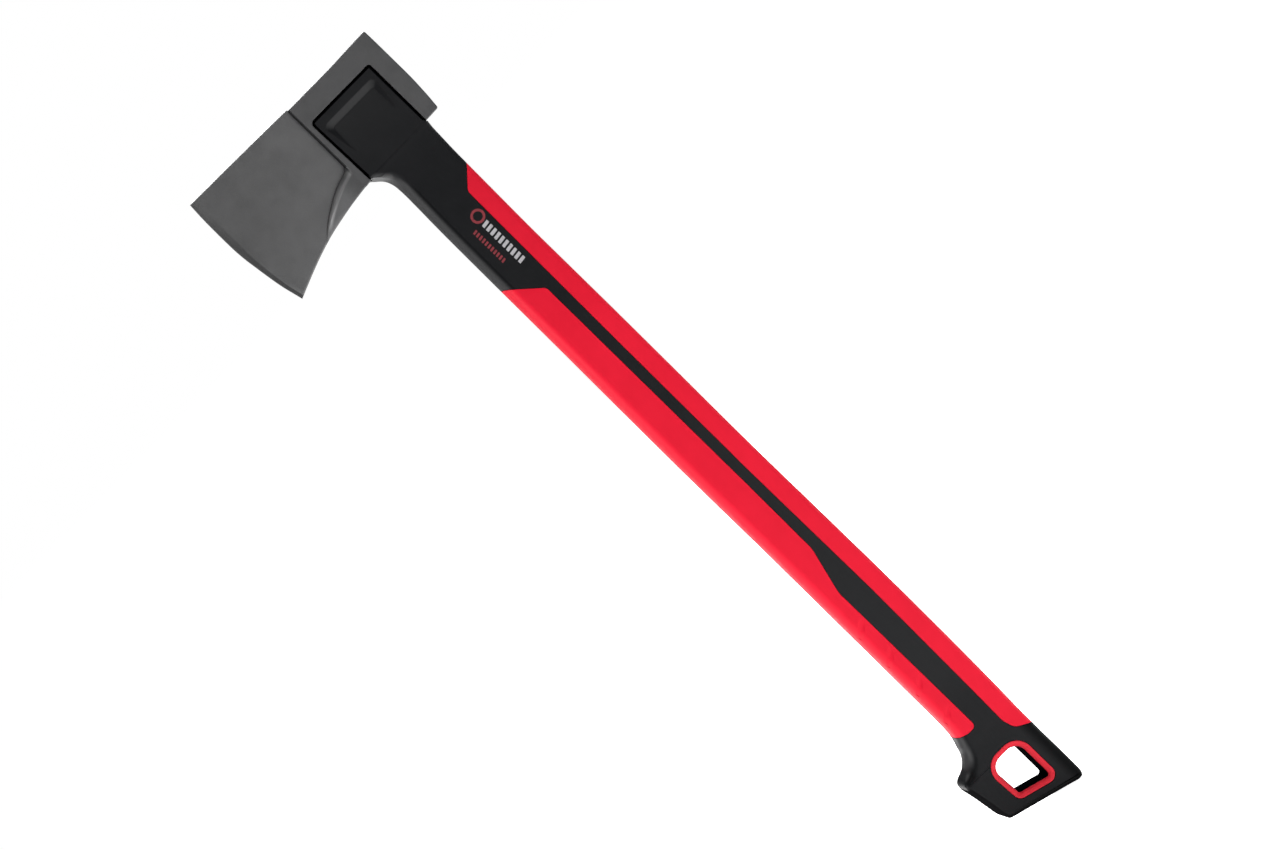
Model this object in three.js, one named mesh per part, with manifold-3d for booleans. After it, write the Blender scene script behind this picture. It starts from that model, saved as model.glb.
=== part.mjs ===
// Fire axe with a forged steel head and a moulded two-colour composite handle.
// Millimetres, +Z up along the handle, thickness along Y. The blade points to -X (front),
// the poll to +X (back); left is -Y and right is +Y.
// The origin is where the middle line of the handle meets the flat sloped butt.
import * as THREE from "three";
import { mergeVertices } from "three/addons/utils/BufferGeometryUtils.js";
import Module from "manifold-3d";

const wasm = await Module();
wasm.setup();

// ---------------------------------------------------------------- shared dimensions
// "HALF" is always a half thickness, measured along Y from the middle plane.
const GAP = 0.3; // clearance between neighbouring pieces
const THROUGH = 40; // Y reach of cutters, well outside every piece
const WEB_HALF = 7; // web of the head between its two side pockets
const POCKET = {
  frontTop: -34.1, frontBottom: -32.6, back: 23.2, top: 688, // X, X, X, Z
  frontRadius: 3.5, backRadius: 2.2, // top corners
};
const LOCK_HOLES = [[-17, 662], [6, 662]]; // [x, z], through the web
const LOCK_RADIUS = 7;

// ---------------------------------------------------------------- solids and meshes
const solidOf = (geometry) => {
  const flat = geometry.index ? geometry.toNonIndexed() : geometry;
  const bare = new THREE.BufferGeometry().setAttribute("position", flat.getAttribute("position"));
  const merged = mergeVertices(bare, 1e-4);
  return new wasm.Manifold(
    new wasm.Mesh({
      numProp: 3,
      vertProperties: new Float32Array(merged.attributes.position.array),
      triVerts: new Uint32Array(merged.index.array),
    }),
  );
};

const geometryOf = (solid) => {
  const mesh = solid.getMesh();
  const positions = new Float32Array(mesh.vertProperties);
  const geometry = new THREE.BufferGeometry();
  geometry.setAttribute("position", new THREE.BufferAttribute(positions, 3));
  geometry.setIndex(new THREE.BufferAttribute(new Uint32Array(mesh.triVerts), 1));
  geometry.computeVertexNormals();
  return geometry;
};

const union = (...solids) => solids.reduce((a, b) => a.add(b));
const bothSides = (make) => union(make(1), make(-1));

// ---------------------------------------------------------------- outlines
// Round the corners of [[x, y, radius], ...], each with the given number of segments
const rounded = (corners, segments) => {
  const points = [];
  corners.forEach(([x, y, radius = 0], i) => {
    if (!radius) {
      points.push([x, y]);
      return;
    }
    const before = corners[(i + corners.length - 1) % corners.length];
    const after = corners[(i + 1) % corners.length];
    const toBefore = new THREE.Vector2(before[0] - x, before[1] - y);
    const toAfter = new THREE.Vector2(after[0] - x, after[1] - y);
    const room = 0.49 * Math.min(toBefore.length(), toAfter.length());
    toBefore.normalize();
    toAfter.normalize();
    const halfAngle = Math.acos(THREE.MathUtils.clamp(toBefore.dot(toAfter), -1, 1)) / 2;
    const tangent = Math.min(radius / Math.tan(halfAngle), room);
    const fitted = tangent * Math.tan(halfAngle);
    const corner = new THREE.Vector2(x, y);
    const bisector = toBefore.clone().add(toAfter).normalize();
    const centre = corner.clone().addScaledVector(bisector, fitted / Math.sin(halfAngle));
    const start = corner.clone().addScaledVector(toBefore, tangent).sub(centre).angle();
    const end = corner.clone().addScaledVector(toAfter, tangent).sub(centre).angle();
    let sweep = end - start;
    if (sweep > Math.PI) sweep -= 2 * Math.PI;
    if (sweep < -Math.PI) sweep += 2 * Math.PI;
    for (let k = 0; k <= segments; k++) {
      const angle = start + (sweep * k) / segments;
      points.push([centre.x + fitted * Math.cos(angle), centre.y + fitted * Math.sin(angle)]);
    }
  });
  return points;
};

// Move an outline outwards by distance; the mitre limit tames sharp corners
const MITRE_LIMIT = 0.35;
const offset = (points, distance) => {
  const area = THREE.ShapeUtils.area(points.map(([x, y]) => new THREE.Vector2(x, y)));
  const signed = Math.sign(area) * distance;
  return points.map(([x, y], i) => {
    const before = points[(i + points.length - 1) % points.length];
    const after = points[(i + 1) % points.length];
    const normal = new THREE.Vector2(y - before[1], before[0] - x).normalize();
    normal.add(new THREE.Vector2(after[1] - y, x - after[0]).normalize());
    const mitre = Math.max(normal.lengthSq() / 2, MITRE_LIMIT);
    return [x + (signed * normal.x) / mitre, y + (signed * normal.y) / mitre];
  });
};

// ---------------------------------------------------------------- prisms and skins
const shapeOf = (points) => new THREE.Shape(points.map(([x, y]) => new THREE.Vector2(x, y)));

// Prism of an [x, z] outline between two Y levels
const sidePrism = (outline, y0, y1, edge = 0) => {
  const geometry = new THREE.ExtrudeGeometry(shapeOf(outline), {
    depth: y1 - y0 - 2 * edge,
    bevelEnabled: edge > 0,
    bevelThickness: edge,
    bevelSize: edge,
    bevelOffset: -edge,
    bevelSegments: 2,
    curveSegments: 1,
  });
  geometry.translate(0, 0, edge);
  geometry.rotateX(Math.PI / 2);
  geometry.translate(0, y1, 0);
  return solidOf(geometry);
};
const throughPrism = (outline) => sidePrism(outline, -THROUGH, THROUGH);

// Prism on one side of the middle plane, between two distances from it
const slab = (side, outline, inner, outer, edge) =>
  side > 0 ? sidePrism(outline, inner, outer, edge) : sidePrism(outline, -outer, -inner, edge);

// Prism of an [x, y] outline between two Z levels
const topPrism = (outline, z0, z1) => {
  const geometry = new THREE.ExtrudeGeometry(shapeOf(outline), {
    depth: z1 - z0,
    bevelEnabled: false,
  });
  geometry.translate(0, 0, z0);
  return solidOf(geometry);
};

// Cap triangles of a flat ring
const flatCap = (ring) => {
  const points = ring.map((point) => new THREE.Vector3(...point));
  const spokes = points.map((point) => point.clone().sub(points[0]));
  const axisU = spokes[1].clone().normalize();
  const normal = new THREE.Vector3();
  spokes.forEach((spoke, i) => {
    normal.add(spoke.clone().cross(spokes[(i + 1) % spokes.length]));
  });
  const axisV = normal.normalize().cross(axisU);
  const flat = spokes.map((spoke) => new THREE.Vector2(spoke.dot(axisU), spoke.dot(axisV)));
  return THREE.ShapeUtils.triangulateShape(flat, []);
};

// Cap triangles as rungs between the first and the second half of an even ring
const ladderCap = (ring) => {
  const triangles = [];
  const last = ring.length - 1;
  for (let i = 0; i + 1 < ring.length / 2; i++) {
    triangles.push([i, i + 1, last - 1 - i], [i, last - 1 - i, last - i]);
  }
  return triangles;
};

// Closed skin over a list of rings with the same number of points
const skin = (rings, capOf = flatCap) => {
  const count = rings[0].length;
  const lastBase = (rings.length - 1) * count;
  const index = [];
  for (let base = 0; base < lastBase; base += count) {
    for (let i = 0; i < count; i++) {
      const a = base + i;
      const b = base + ((i + 1) % count);
      index.push(a, b, a + count, b, b + count, a + count);
    }
  }
  capOf(rings[0]).forEach(([a, b, c]) => index.push(a, c, b));
  capOf(rings.at(-1)).forEach(([a, b, c]) => index.push(lastBase + a, lastBase + b, lastBase + c));

  const geometry = new THREE.BufferGeometry();
  geometry.setAttribute("position", new THREE.Float32BufferAttribute(rings.flat(2), 3));
  geometry.setIndex(index);
  const solid = solidOf(geometry);
  if (solid.volume() > 0) return solid;
  // the rings ran the other way round: turn every triangle over
  for (let i = 0; i < index.length; i += 3) {
    [index[i], index[i + 1]] = [index[i + 1], index[i]];
  }
  geometry.setIndex(index);
  return solidOf(geometry);
};

// ---------------------------------------------------------------- head
const BLOCK_HALF = 20; // eye block
const BLOCK_EDGE = 1.2; // its edge rounding
const BLOCK_FRONT = -38.2; // X of the step between block and blade
const HEAD_TOP = 706;
const POLL = [[35.1, 633], [36.4, 648], [37.1, 665], [37.1, 692], [36.9, HEAD_TOP]]; // [x, z]

const BLADE_HALF = 13.5; // at the step
const BLADE_SLOPE = 0.1385; // change of half thickness per mm of X
const BLADE_ROOT = -20; // X inside the block where the blade starts
const EDGE_HALF = 0.2; // at the cutting edge
const EDGE_CURVE = [
  // [z, x] of the cutting edge
  [600, -120.9], [609.4, -122.4], [622.2, -125.6], [633.2, -127.5], [645.6, -129.2],
  [655.9, -130.5], [666.3, -131.1], [676.7, -131.2], [687.0, -131.1], [697.4, -130.8],
  [707.1, -130.2], [715, -129.7],
];
const BLADE_SECTIONS = { z0: 600, step: 7, count: 17 };
// Width of the ground bevel, from the heel (bottom) to the toe (top)
const BEVEL = { heelZ: 610, heelWidth: 5.5, toeZ: 707, toeWidth: 2.2 };
const BLADE_BOTTOM = [
  // [x, z] from the heel back to the block
  [-121.4, 607.8], [-117.5, 609.4], [-103.9, 614.9], [-90.3, 619.8],
  [-76.8, 623.8], [-63.5, 626.6], [-50.2, 628.9], [-34.8, 630.6],
];
const BLADE_OUTLINE = [
  ...BLADE_BOTTOM, [-15, 640], [-15, 700], [BLOCK_FRONT - 1, 706.3],
  [-129.5, 708.2], [-136, 705], [-136, 608],
];

const RIDGE = [
  // [x, z] of the upper limit of the beard
  [-81.0, 625.0], [-76.8, 628.8], [-70, 634.0], [-63.2, 638.3], [-56.5, 642.1],
  [-49.7, 645.0], [-42.9, 646.9], [BLOCK_FRONT, 649.6],
];
const BEARD_OUTLINE = [
  ...RIDGE, [-33, 649.6], [-33, 630.8], ...BLADE_BOTTOM.slice(-4).reverse(), [-80.2, 623.1],
];
const BEARD_FRONT = -82; // X where the beard has run into the blade
const BEARD_OVERRUN = 2; // the wedge runs on past it
const BEARD_SINK = 0.6; // and ends this far under the blade's surface
const BEARD_ROOT = -30; // X of the wedge's end inside the block
const BEARD_TRIM = [[-34, 625], [-25, 625], [-25, 660], [-34, 660]];
const TRIM_DEPTH = 0.001;

const bladeHalfAt = (x) => BLADE_HALF + BLADE_SLOPE * (x - BLOCK_FRONT);

const edgeXAt = (z) => {
  const i = EDGE_CURVE.findIndex(([pointZ], k) => k > 0 && z <= pointZ);
  const [z0, x0] = EDGE_CURVE[i - 1];
  const [z1, x1] = EDGE_CURVE[i];
  return x0 + ((x1 - x0) * (z - z0)) / (z1 - z0);
};

const bladeSection = (z) => {
  const edgeX = edgeXAt(z);
  const rise = THREE.MathUtils.clamp((z - BEVEL.heelZ) / (BEVEL.toeZ - BEVEL.heelZ), 0, 1);
  const bevelX = edgeX + BEVEL.heelWidth + (BEVEL.toeWidth - BEVEL.heelWidth) * rise;
  const bevelHalf = bladeHalfAt(bevelX);
  const rootHalf = bladeHalfAt(BLADE_ROOT);
  return [
    [edgeX, -EDGE_HALF, z], [bevelX, -bevelHalf, z], [BLADE_ROOT, -rootHalf, z],
    [BLADE_ROOT, rootHalf, z], [bevelX, bevelHalf, z], [edgeX, EDGE_HALF, z],
  ];
};

const makeBlade = () => {
  const { z0, step, count } = BLADE_SECTIONS;
  const sections = Array.from({ length: count }, (_, i) => bladeSection(z0 + step * i));
  return skin(sections).intersect(throughPrism(BLADE_OUTLINE));
};

// Thickening under the blade, tapering from the block's thickness to the blade's
const makeBeard = () => {
  const tipX = BEARD_FRONT - BEARD_OVERRUN;
  const tipHalf = bladeHalfAt(BEARD_FRONT) - BEARD_SINK;
  const wedge = [
    [tipX, -tipHalf], [BLOCK_FRONT, -BLOCK_HALF], [BEARD_ROOT, -BLOCK_HALF],
    [BEARD_ROOT, BLOCK_HALF], [BLOCK_FRONT, BLOCK_HALF], [tipX, tipHalf],
  ];
  // keeps the beard just under the flat faces of the block
  const trim = bothSides((side) => slab(side, BEARD_TRIM, BLOCK_HALF - TRIM_DEPTH, THROUGH));
  return throughPrism(BEARD_OUTLINE).intersect(topPrism(wedge, 600, 720)).subtract(trim);
};

const makePockets = () => {
  const { frontTop, frontBottom, back, top, frontRadius, backRadius } = POCKET;
  const outline = rounded(
    [[frontBottom, 620], [back, 620], [back, top, backRadius], [frontTop, top, frontRadius]],
    4,
  );
  return bothSides((side) => slab(side, outline, WEB_HALF, THROUGH));
};

// Cylinders along Y at the lock holes
const lockCylinders = (radius, half) =>
  union(
    ...LOCK_HOLES.map(([x, z]) => {
      const geometry = new THREE.CylinderGeometry(radius, radius, 2 * half, 24);
      return solidOf(geometry.translate(x, 0, z));
    }),
  );

const makeHead = () => {
  const outline = [
    [BLOCK_FRONT, 630.1], BLADE_BOTTOM.at(-1), [0, 631.8], ...POLL, [BLOCK_FRONT, HEAD_TOP],
  ];
  const block = sidePrism(outline, -BLOCK_HALF, BLOCK_HALF, BLOCK_EDGE);
  return union(block, makeBlade(), makeBeard())
    .subtract(makePockets())
    .subtract(lockCylinders(LOCK_RADIUS, THROUGH));
};

// ---------------------------------------------------------------- handle envelope
const BUTT_SLOPE = Math.tan(THREE.MathUtils.degToRad(15.5));
const butt = (x) => -BUTT_SLOPE * x; // Z of the sloped butt
const GRIP_HALF = 15.5; // handle along the grips
const KNOB_HALF = 15; // handle at its lower end

// Outline chains from the neck under the head to the middle of the butt:
// [x, z, half thickness, edge radius]. Points with the same index share a section.
const FRONT = [
  [-32.2, 631.6, 19.9, 1.5], [-29.6, 630.1, 19.7, 2], [-27.1, 627.7, 19.4, 3],
  [-23.9, 624.3, 19, 4.5], [-21.9, 620.2, 18.5, 5.8], [-20.75, 614, 17.9, 6.4],
  [-20.55, 606, 17.3, 6.5], [-20.8, 595, 16.8, 6.5], [-21.5, 566, 16.2, 6.5],
  [-21.9, 520, 15.6, 6.5], [-22.2, 461, GRIP_HALF, 6.5], [-22.7, 400, GRIP_HALF, 6.5],
  [-23.15, 323, GRIP_HALF, 6.5], [-22.85, 254, GRIP_HALF, 6.5], [-23, 190, GRIP_HALF, 6.5],
  [-23.1, 133, GRIP_HALF, 6.5], [-23.2, 98, 15.4, 6.4], [-23.5, 80, 15.3, 6.3],
  [-24.3, 72, 15.2, 6.4], [-25.3, 67.05, 15.1, 6.8], [-26.4, 63.1, KNOB_HALF, 7.2],
  [-28.75, 58.9, KNOB_HALF, 7.4], [-31.7, 55.8, KNOB_HALF, 7.2], [-35, 53.3, KNOB_HALF, 6.2],
  [-38.8, 51.55, KNOB_HALF, 5], [-42.2, 49.6, KNOB_HALF, 4], [-44.45, 46.6, KNOB_HALF, 3.3],
  [-44.75, 43.4, KNOB_HALF, 3], [-43.9, 38, KNOB_HALF, 3], [-42.4, 30.5, KNOB_HALF, 3],
  [-40.5, 20.5, KNOB_HALF, 3], [-39.1, 14.2, KNOB_HALF, 3], [-37.9, 11.4, KNOB_HALF, 3],
  ...[-35.2, -29, -20, -11].map((x) => [x, butt(x), KNOB_HALF, 3]),
];
const BACK = [
  [23.65, 633.4, 19.9, 1.5], [23.65, 631.4, 19.7, 2], [23.55, 629.2, 19.4, 3],
  [23.45, 625.4, 19, 3.8], [23.35, 620.6, 18.5, 4], [23.15, 614, 17.9, 4],
  [22.9, 606, 17.3, 4], [22.75, 595, 16.8, 4], [22.4, 566, 16.2, 4],
  [21.95, 520, 15.6, 4], [22, 461, GRIP_HALF, 4], [21.8, 400, GRIP_HALF, 4],
  [21.45, 323, GRIP_HALF, 4], [21.9, 254, GRIP_HALF, 4], [22.25, 190, GRIP_HALF, 4],
  [21.9, 133, GRIP_HALF, 4], [21.4, 98, 15.4, 4], [21.05, 80, 15.3, 4],
  [20.85, 74, 15.2, 4], [20.7, 69, 15.1, 4], [20.6, 65, KNOB_HALF, 4],
  [20.45, 60.5, KNOB_HALF, 4], [20.45, 57, KNOB_HALF, 4], [20.4, 54, KNOB_HALF, 4],
  [20.4, 51, KNOB_HALF, 4], [20.4, 48, KNOB_HALF, 4], [20.35, 44.5, KNOB_HALF, 4],
  [20.3, 41, KNOB_HALF, 4], [20.25, 35, KNOB_HALF, 4], [20.2, 27, KNOB_HALF, 3.5],
  [20.15, 17, KNOB_HALF, 3], [20.1, 7, KNOB_HALF, 3], [19.9, 0.2, KNOB_HALF, 3],
  [18.2, -3.7, KNOB_HALF, 3],
  ...[15.1, 9, 0].map((x) => [x, butt(x), KNOB_HALF, 3]),
];
// Edges are quarter ellipses, deeper along Y where the radius exceeds plainRadius
const EDGE = { segments: 5, plainRadius: 3, deepen: 1.35, maxShare: 0.85, minRadius: 0.8 };

// Outward [x, z] normal of a chain; turn is 1 on the front and -1 on the back
const outward = (chain, i, turn) => {
  const before = chain[Math.max(i - 1, 0)];
  const after = chain[Math.min(i + 1, chain.length - 1)];
  const along = new THREE.Vector2(after[0] - before[0], after[1] - before[1]).normalize();
  return [turn * along.y, -turn * along.x];
};

// Rounded edge at one chain point, from the flat face out to the rim
const edgeArc = ([x, z, half, radius], [normalX, normalZ], side, inset) => {
  const extra = Math.max(radius - EDGE.plainRadius, 0) * EDGE.deepen;
  const depth = Math.min(radius + extra, half * EDGE.maxShare);
  const insetRadius = Math.max(radius - inset, EDGE.minRadius);
  const insetDepth = Math.max(depth - inset, EDGE.minRadius);
  return Array.from({ length: EDGE.segments + 1 }, (_, k) => {
    const angle = (k / EDGE.segments) * (Math.PI / 2);
    const inward = inset + insetRadius * (1 - Math.sin(angle));
    const y = half - inset - insetDepth * (1 - Math.cos(angle));
    return [x - normalX * inward, side * y, z - normalZ * inward];
  });
};

// Handle shape, with its whole surface moved in by inset
const handleSolid = (inset) => {
  const rings = FRONT.map((front, i) => {
    const back = BACK[i];
    const frontNormal = outward(FRONT, i, 1);
    const backNormal = outward(BACK, i, -1);
    return [
      ...edgeArc(front, frontNormal, -1, inset),
      ...edgeArc(front, frontNormal, 1, inset).reverse(),
      ...edgeArc(back, backNormal, 1, inset),
      ...edgeArc(back, backNormal, -1, inset).reverse(),
    ];
  });
  return skin(rings, ladderCap);
};
const envelope = handleSolid(0);

// ---------------------------------------------------------------- cheeks in the pockets
const CHEEK_HALF = 19.9;
const CHEEK_EDGE = 0.5;
const CHEEK_MIN_RADIUS = 3; // smallest front top corner
const CHEEK_INNER = WEB_HALF + GAP;
const GROOVE_WIDTH = 1.1; // visible joint between cheek and steel
const GROOVE_DEPTH = 3.2;
const ABOVE_NECK = [[-60, 630.6], [60, 633.8], [60, 720], [-60, 720]];
const NECK_FOOT = [[-26, 627.3], [20.5, 627.3], [20.5, 640], [-30.3, 640], [-30.3, 631.3]];
const NECK_FOOT_HALF = 19;
const PLUG_HALF = 12;
// Underside of the head, closed above: [x, z]
const HEAD_ROOM = [
  [-40, 629.8], [-34.8, 630.2], [0, 631.4], [35.1, 632.6], [40, 632.8], [40, 660], [-40, 660],
];

// Pocket outline moved in by inset; the back corner keeps the pocket's radius
const cheekOutline = (inset) => {
  const { frontTop, frontBottom, back, top, frontRadius, backRadius } = POCKET;
  const radii = [0, 0, backRadius, Math.max(frontRadius - inset, CHEEK_MIN_RADIUS)];
  const corners = offset([[frontBottom, 622], [back, 622], [back, top], [frontTop, top]], -inset);
  return rounded(corners.map(([x, z], i) => [x, z, radii[i]]), 4);
};

// A wide base in each pocket with a narrower top, which leaves the groove around it
const makeCheeks = () =>
  bothSides((side) =>
    union(
      slab(side, cheekOutline(GAP), CHEEK_INNER, CHEEK_HALF - GROOVE_DEPTH),
      slab(side, cheekOutline(GROOVE_WIDTH), CHEEK_INNER, CHEEK_HALF, CHEEK_EDGE),
    ),
  ).intersect(throughPrism(ABOVE_NECK));

// Joins the cheeks to the handle below
const makeNeckFoot = () =>
  bothSides((side) => slab(side, NECK_FOOT, CHEEK_INNER, NECK_FOOT_HALF));

// Sunk panel in each cheek: sloped walls, deepest at the top, running out flush at the foot
const PANEL = { front: -25.2, back: 14.2, top: 675.2, foot: 650, half: 17.2, radius: 2.5 };
const PANEL_FLOOR = {
  grow: 0, footGrow: 0, topY: PANEL.half, footY: CHEEK_HALF + 0.1, footZ: PANEL.foot,
};
const PANEL_RIM = {
  grow: 4.4, footGrow: 0.4, topY: CHEEK_HALF + 0.05, footY: CHEEK_HALF + 0.2,
  footZ: PANEL.foot - 1,
};
const PANEL_LID = { ...PANEL_RIM, topY: THROUGH, footY: THROUGH };

const panelRing = (side, { grow, footGrow, topY, footY, footZ }) => {
  const radius = PANEL.radius + grow * 0.3;
  const corners = [
    [PANEL.front - footGrow, footZ],
    [PANEL.back + footGrow, footZ],
    [PANEL.back + grow, PANEL.top + grow, radius],
    [PANEL.front - grow, PANEL.top + grow, radius],
  ];
  return rounded(corners, 4).map(([x, z]) => {
    const drop = Math.max(PANEL.top - z, 0) / (PANEL.top - footZ);
    return [x, side * (topY + (footY - topY) * drop), z];
  });
};
const makePanelCuts = () =>
  bothSides((side) =>
    skin([PANEL_FLOOR, PANEL_RIM, PANEL_LID].map((level) => panelRing(side, level))),
  );

// ---------------------------------------------------------------- soft grips
const GRIP_SKIN = 2.8; // thickness of the grips
const BACK_GRIP = [
  // [x, z, corner radius]
  [36, 607, 0], [8.7, 578.4, 6], [8.3, 530, 0], [7.4, 426, 0], [6.9, 306, 0], [7.8, 190, 0],
  [6.7, 98, 0], [6.1, 62, 12], [8.6, 52.8, 9], [20, 46.6, 0], [36, 42, 0],
];
const FRONT_GRIP = [
  // [x, z, corner radius]
  [-36, 525.6, 0], [-0.8, 493.4, 5], [-0.8, 300, 0], [-1.2, 238, 26], [-10, 204, 26],
  [-9.6, 130, 0], [-9.4, 72.4, 6], [-16.5, 72.5, 0], [-22.6, 74.2, 0], [-25.4, 75.7, 0],
  [-36, 81.6, 0],
];
// Slanted grooves in both faces of the front grip; z lists their middles
const NOTCH = { x: -17.6, z: [174.4, 146.9, 118.9, 91.4], depth: 0.7, radius: 2.6, length: 16 };

const gripRegion = (outline, grow) => throughPrism(offset(rounded(outline, 6), grow));
const gripShell = envelope.subtract(handleSolid(GRIP_SKIN));

const notchCut = (side, z) => {
  const geometry = new THREE.CylinderGeometry(NOTCH.radius, NOTCH.radius, NOTCH.length, 10);
  geometry.rotateX(Math.PI / 2);
  geometry.rotateY(Math.PI / 4);
  geometry.translate(NOTCH.x, side * (GRIP_HALF + NOTCH.radius - NOTCH.depth), z);
  return solidOf(geometry);
};

const makeBackGrip = () => gripShell.intersect(gripRegion(BACK_GRIP, 0));
const makeFrontGrip = () => {
  const notches = NOTCH.z.flatMap((z) => [notchCut(1, z), notchCut(-1, z)]);
  return gripShell.intersect(gripRegion(FRONT_GRIP, 0)).subtract(union(...notches));
};
const makeGripRoom = () =>
  union(gripRegion(BACK_GRIP, GAP), gripRegion(FRONT_GRIP, GAP))
    .subtract(handleSolid(GRIP_SKIN + GAP));

// ---------------------------------------------------------------- hang hole and its soft lips
const LIP_WIDTH = 4.5;
const LIP_INNER = KNOB_HALF - 5; // Y where the lip ends inside the hole
const LIP_CORNERS = [[-26.9, 49.2, 13], [7.0, 49.2, 13], [7.0, 6.5, 6.5], [-24.9, 15.4, 6]];
const LIP_OUTLINE = rounded(LIP_CORNERS, 5); // outer limit of the lip
const FUNNEL = [
  // [inset from the lip outline, y]
  [LIP_WIDTH, LIP_INNER - 1], [LIP_WIDTH, LIP_INNER], [1.5, KNOB_HALF - 0.9],
  [1.0, KNOB_HALF + 0.2], [1.0, THROUGH],
];
const throat = throughPrism(offset(LIP_OUTLINE, -LIP_WIDTH));

const makeLip = (side) => {
  const funnel = skin(
    FUNNEL.map(([inset, y]) => offset(LIP_OUTLINE, -inset).map(([x, z]) => [x, side * y, z])),
  );
  return slab(side, LIP_OUTLINE, LIP_INNER, KNOB_HALF).subtract(throat).subtract(funnel);
};
const makeLipRoom = () =>
  bothSides((side) => slab(side, offset(LIP_OUTLINE, GAP), LIP_INNER - GAP, THROUGH));

// ---------------------------------------------------------------- fibreglass core
const CORE = { x: -0.3, halfX: 11.5, halfY: 5.5, z0: 62, z1: 628, roomTop: 645 };

// Rod with two half-round ends in section
const coreSolid = (grow, z0, z1) => {
  const radius = CORE.halfY + grow;
  const section = [1, -1].flatMap((end) =>
    Array.from({ length: 9 }, (_, k) => {
      const angle = (-end * Math.PI) / 2 + (Math.PI * k) / 8;
      const centreX = CORE.x + end * (CORE.halfX - CORE.halfY);
      return [centreX + radius * Math.cos(angle), radius * Math.sin(angle)];
    }),
  );
  return topPrism(section, z0, z1);
};

// ---------------------------------------------------------------- handle body
const makeBody = () => {
  const plugs = lockCylinders(LOCK_RADIUS - GAP, PLUG_HALF);
  // room for the steel around the cheeks, and for the web between them
  const headRoom = throughPrism(HEAD_ROOM).subtract(throughPrism(cheekOutline(GAP)));
  const webRoom = sidePrism(HEAD_ROOM, -CHEEK_INNER, CHEEK_INNER).subtract(plugs);
  return union(envelope, makeCheeks(), makeNeckFoot(), plugs)
    .subtract(headRoom)
    .subtract(webRoom)
    .subtract(makePanelCuts())
    .subtract(makeGripRoom())
    .subtract(throat)
    .subtract(makeLipRoom())
    .subtract(coreSolid(GAP, CORE.z0 - GAP, CORE.roomTop));
};

// ---------------------------------------------------------------- materials and scene
const material = (settings) => new THREE.MeshStandardMaterial(settings);
const steel = () => material({ color: 0x5e5e5e, roughness: 0.55, metalness: 0.6 });
const blackComposite = () => material({ color: 0x24272a, roughness: 0.6, metalness: 0 });
const fibreglass = () => material({ color: 0xd8d2b0, roughness: 0.5, metalness: 0 });
const redGrip = () => material({ color: 0xe22131, roughness: 0.65, metalness: 0 });
const redLip = () => material({ color: 0xd12a3a, roughness: 0.65, metalness: 0 });

const axe = new THREE.Group();
const addPiece = (name, solid, finish) => {
  const mesh = new THREE.Mesh(geometryOf(solid), finish);
  mesh.name = name;
  axe.add(mesh);
};
addPiece("axe_head", makeHead(), steel());
addPiece("handle_body", makeBody(), blackComposite());
addPiece("core_rod", coreSolid(0, CORE.z0, CORE.z1), fibreglass());
addPiece("back_grip", makeBackGrip(), redGrip());
addPiece("front_grip", makeFrontGrip(), redGrip());
addPiece("hang_ring_left", makeLip(-1), redLip());
addPiece("hang_ring_right", makeLip(1), redLip());

export default axe;
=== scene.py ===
"""Looks of the axe: fine meshes for every shown piece, procedural materials, soft studio light and a camera.

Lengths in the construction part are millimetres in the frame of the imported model; every mesh is turned to metres
when it becomes an object. Blade towards -X, poll towards +X, thickness along Y, +Z up the handle.
"""

import math

import bpy
import numpy as np
from mathutils import Matrix, Vector


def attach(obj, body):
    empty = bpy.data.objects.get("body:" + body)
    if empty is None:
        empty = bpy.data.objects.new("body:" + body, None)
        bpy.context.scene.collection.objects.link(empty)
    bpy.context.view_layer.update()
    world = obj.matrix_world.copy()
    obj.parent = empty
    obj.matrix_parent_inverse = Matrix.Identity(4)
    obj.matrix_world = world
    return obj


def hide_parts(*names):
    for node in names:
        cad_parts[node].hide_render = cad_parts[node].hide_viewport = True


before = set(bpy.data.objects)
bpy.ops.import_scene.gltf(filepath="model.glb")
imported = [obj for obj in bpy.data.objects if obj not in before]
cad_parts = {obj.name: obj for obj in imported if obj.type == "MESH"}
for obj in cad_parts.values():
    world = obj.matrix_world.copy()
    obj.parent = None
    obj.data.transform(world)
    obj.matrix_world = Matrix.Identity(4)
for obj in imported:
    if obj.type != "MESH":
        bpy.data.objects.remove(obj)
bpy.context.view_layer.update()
MM = 0.001

# ------------------------------------------------------------------ sizes (mm)
GAP = 0.3
BLOCK_T = 20.0
BLOCK_EDGE = 0.9
BLOCK_X0 = -38.2
HEAD_TOP = 706.0
WEB_T = 7.0
BLADE_T = 13.5
BLADE_SLOPE = 0.1385
EDGE_T = 0.2
EDGE_CURVE = [
    (600, -120.9), (609.4, -122.4), (622.2, -125.6), (633.2, -127.5), (645.6, -129.2), (655.9, -130.5),
    (666.3, -131.1), (676.7, -131.2), (687.0, -131.1), (697.4, -130.8), (707.1, -130.2), (715, -129.7),
]
BEVEL_W_HEEL = 5.5
BEVEL_W_TOE = 2.2
POLL = [(633.0, 35.1), (648, 36.4), (665, 37.1), (692, 37.1), (HEAD_TOP, 36.9)]
BLADE_BOTTOM = [
    (-127, 605.2), (-121.4, 607.8), (-117.5, 609.4), (-103.9, 614.9), (-90.3, 619.8), (-76.8, 623.8), (-63.5, 626.6),
    (-50.2, 628.9), (-34.8, 630.6), (-15, 631.3),
]
RIDGE = [
    (-84.0, 622.6), (-81.0, 625.0), (-76.8, 628.8), (-70, 634.0), (-63.2, 638.3), (-56.5, 642.1), (-49.7, 645.0),
    (-42.9, 646.9), (-38.2, 649.6), (-33.0, 650.4),
]
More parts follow.
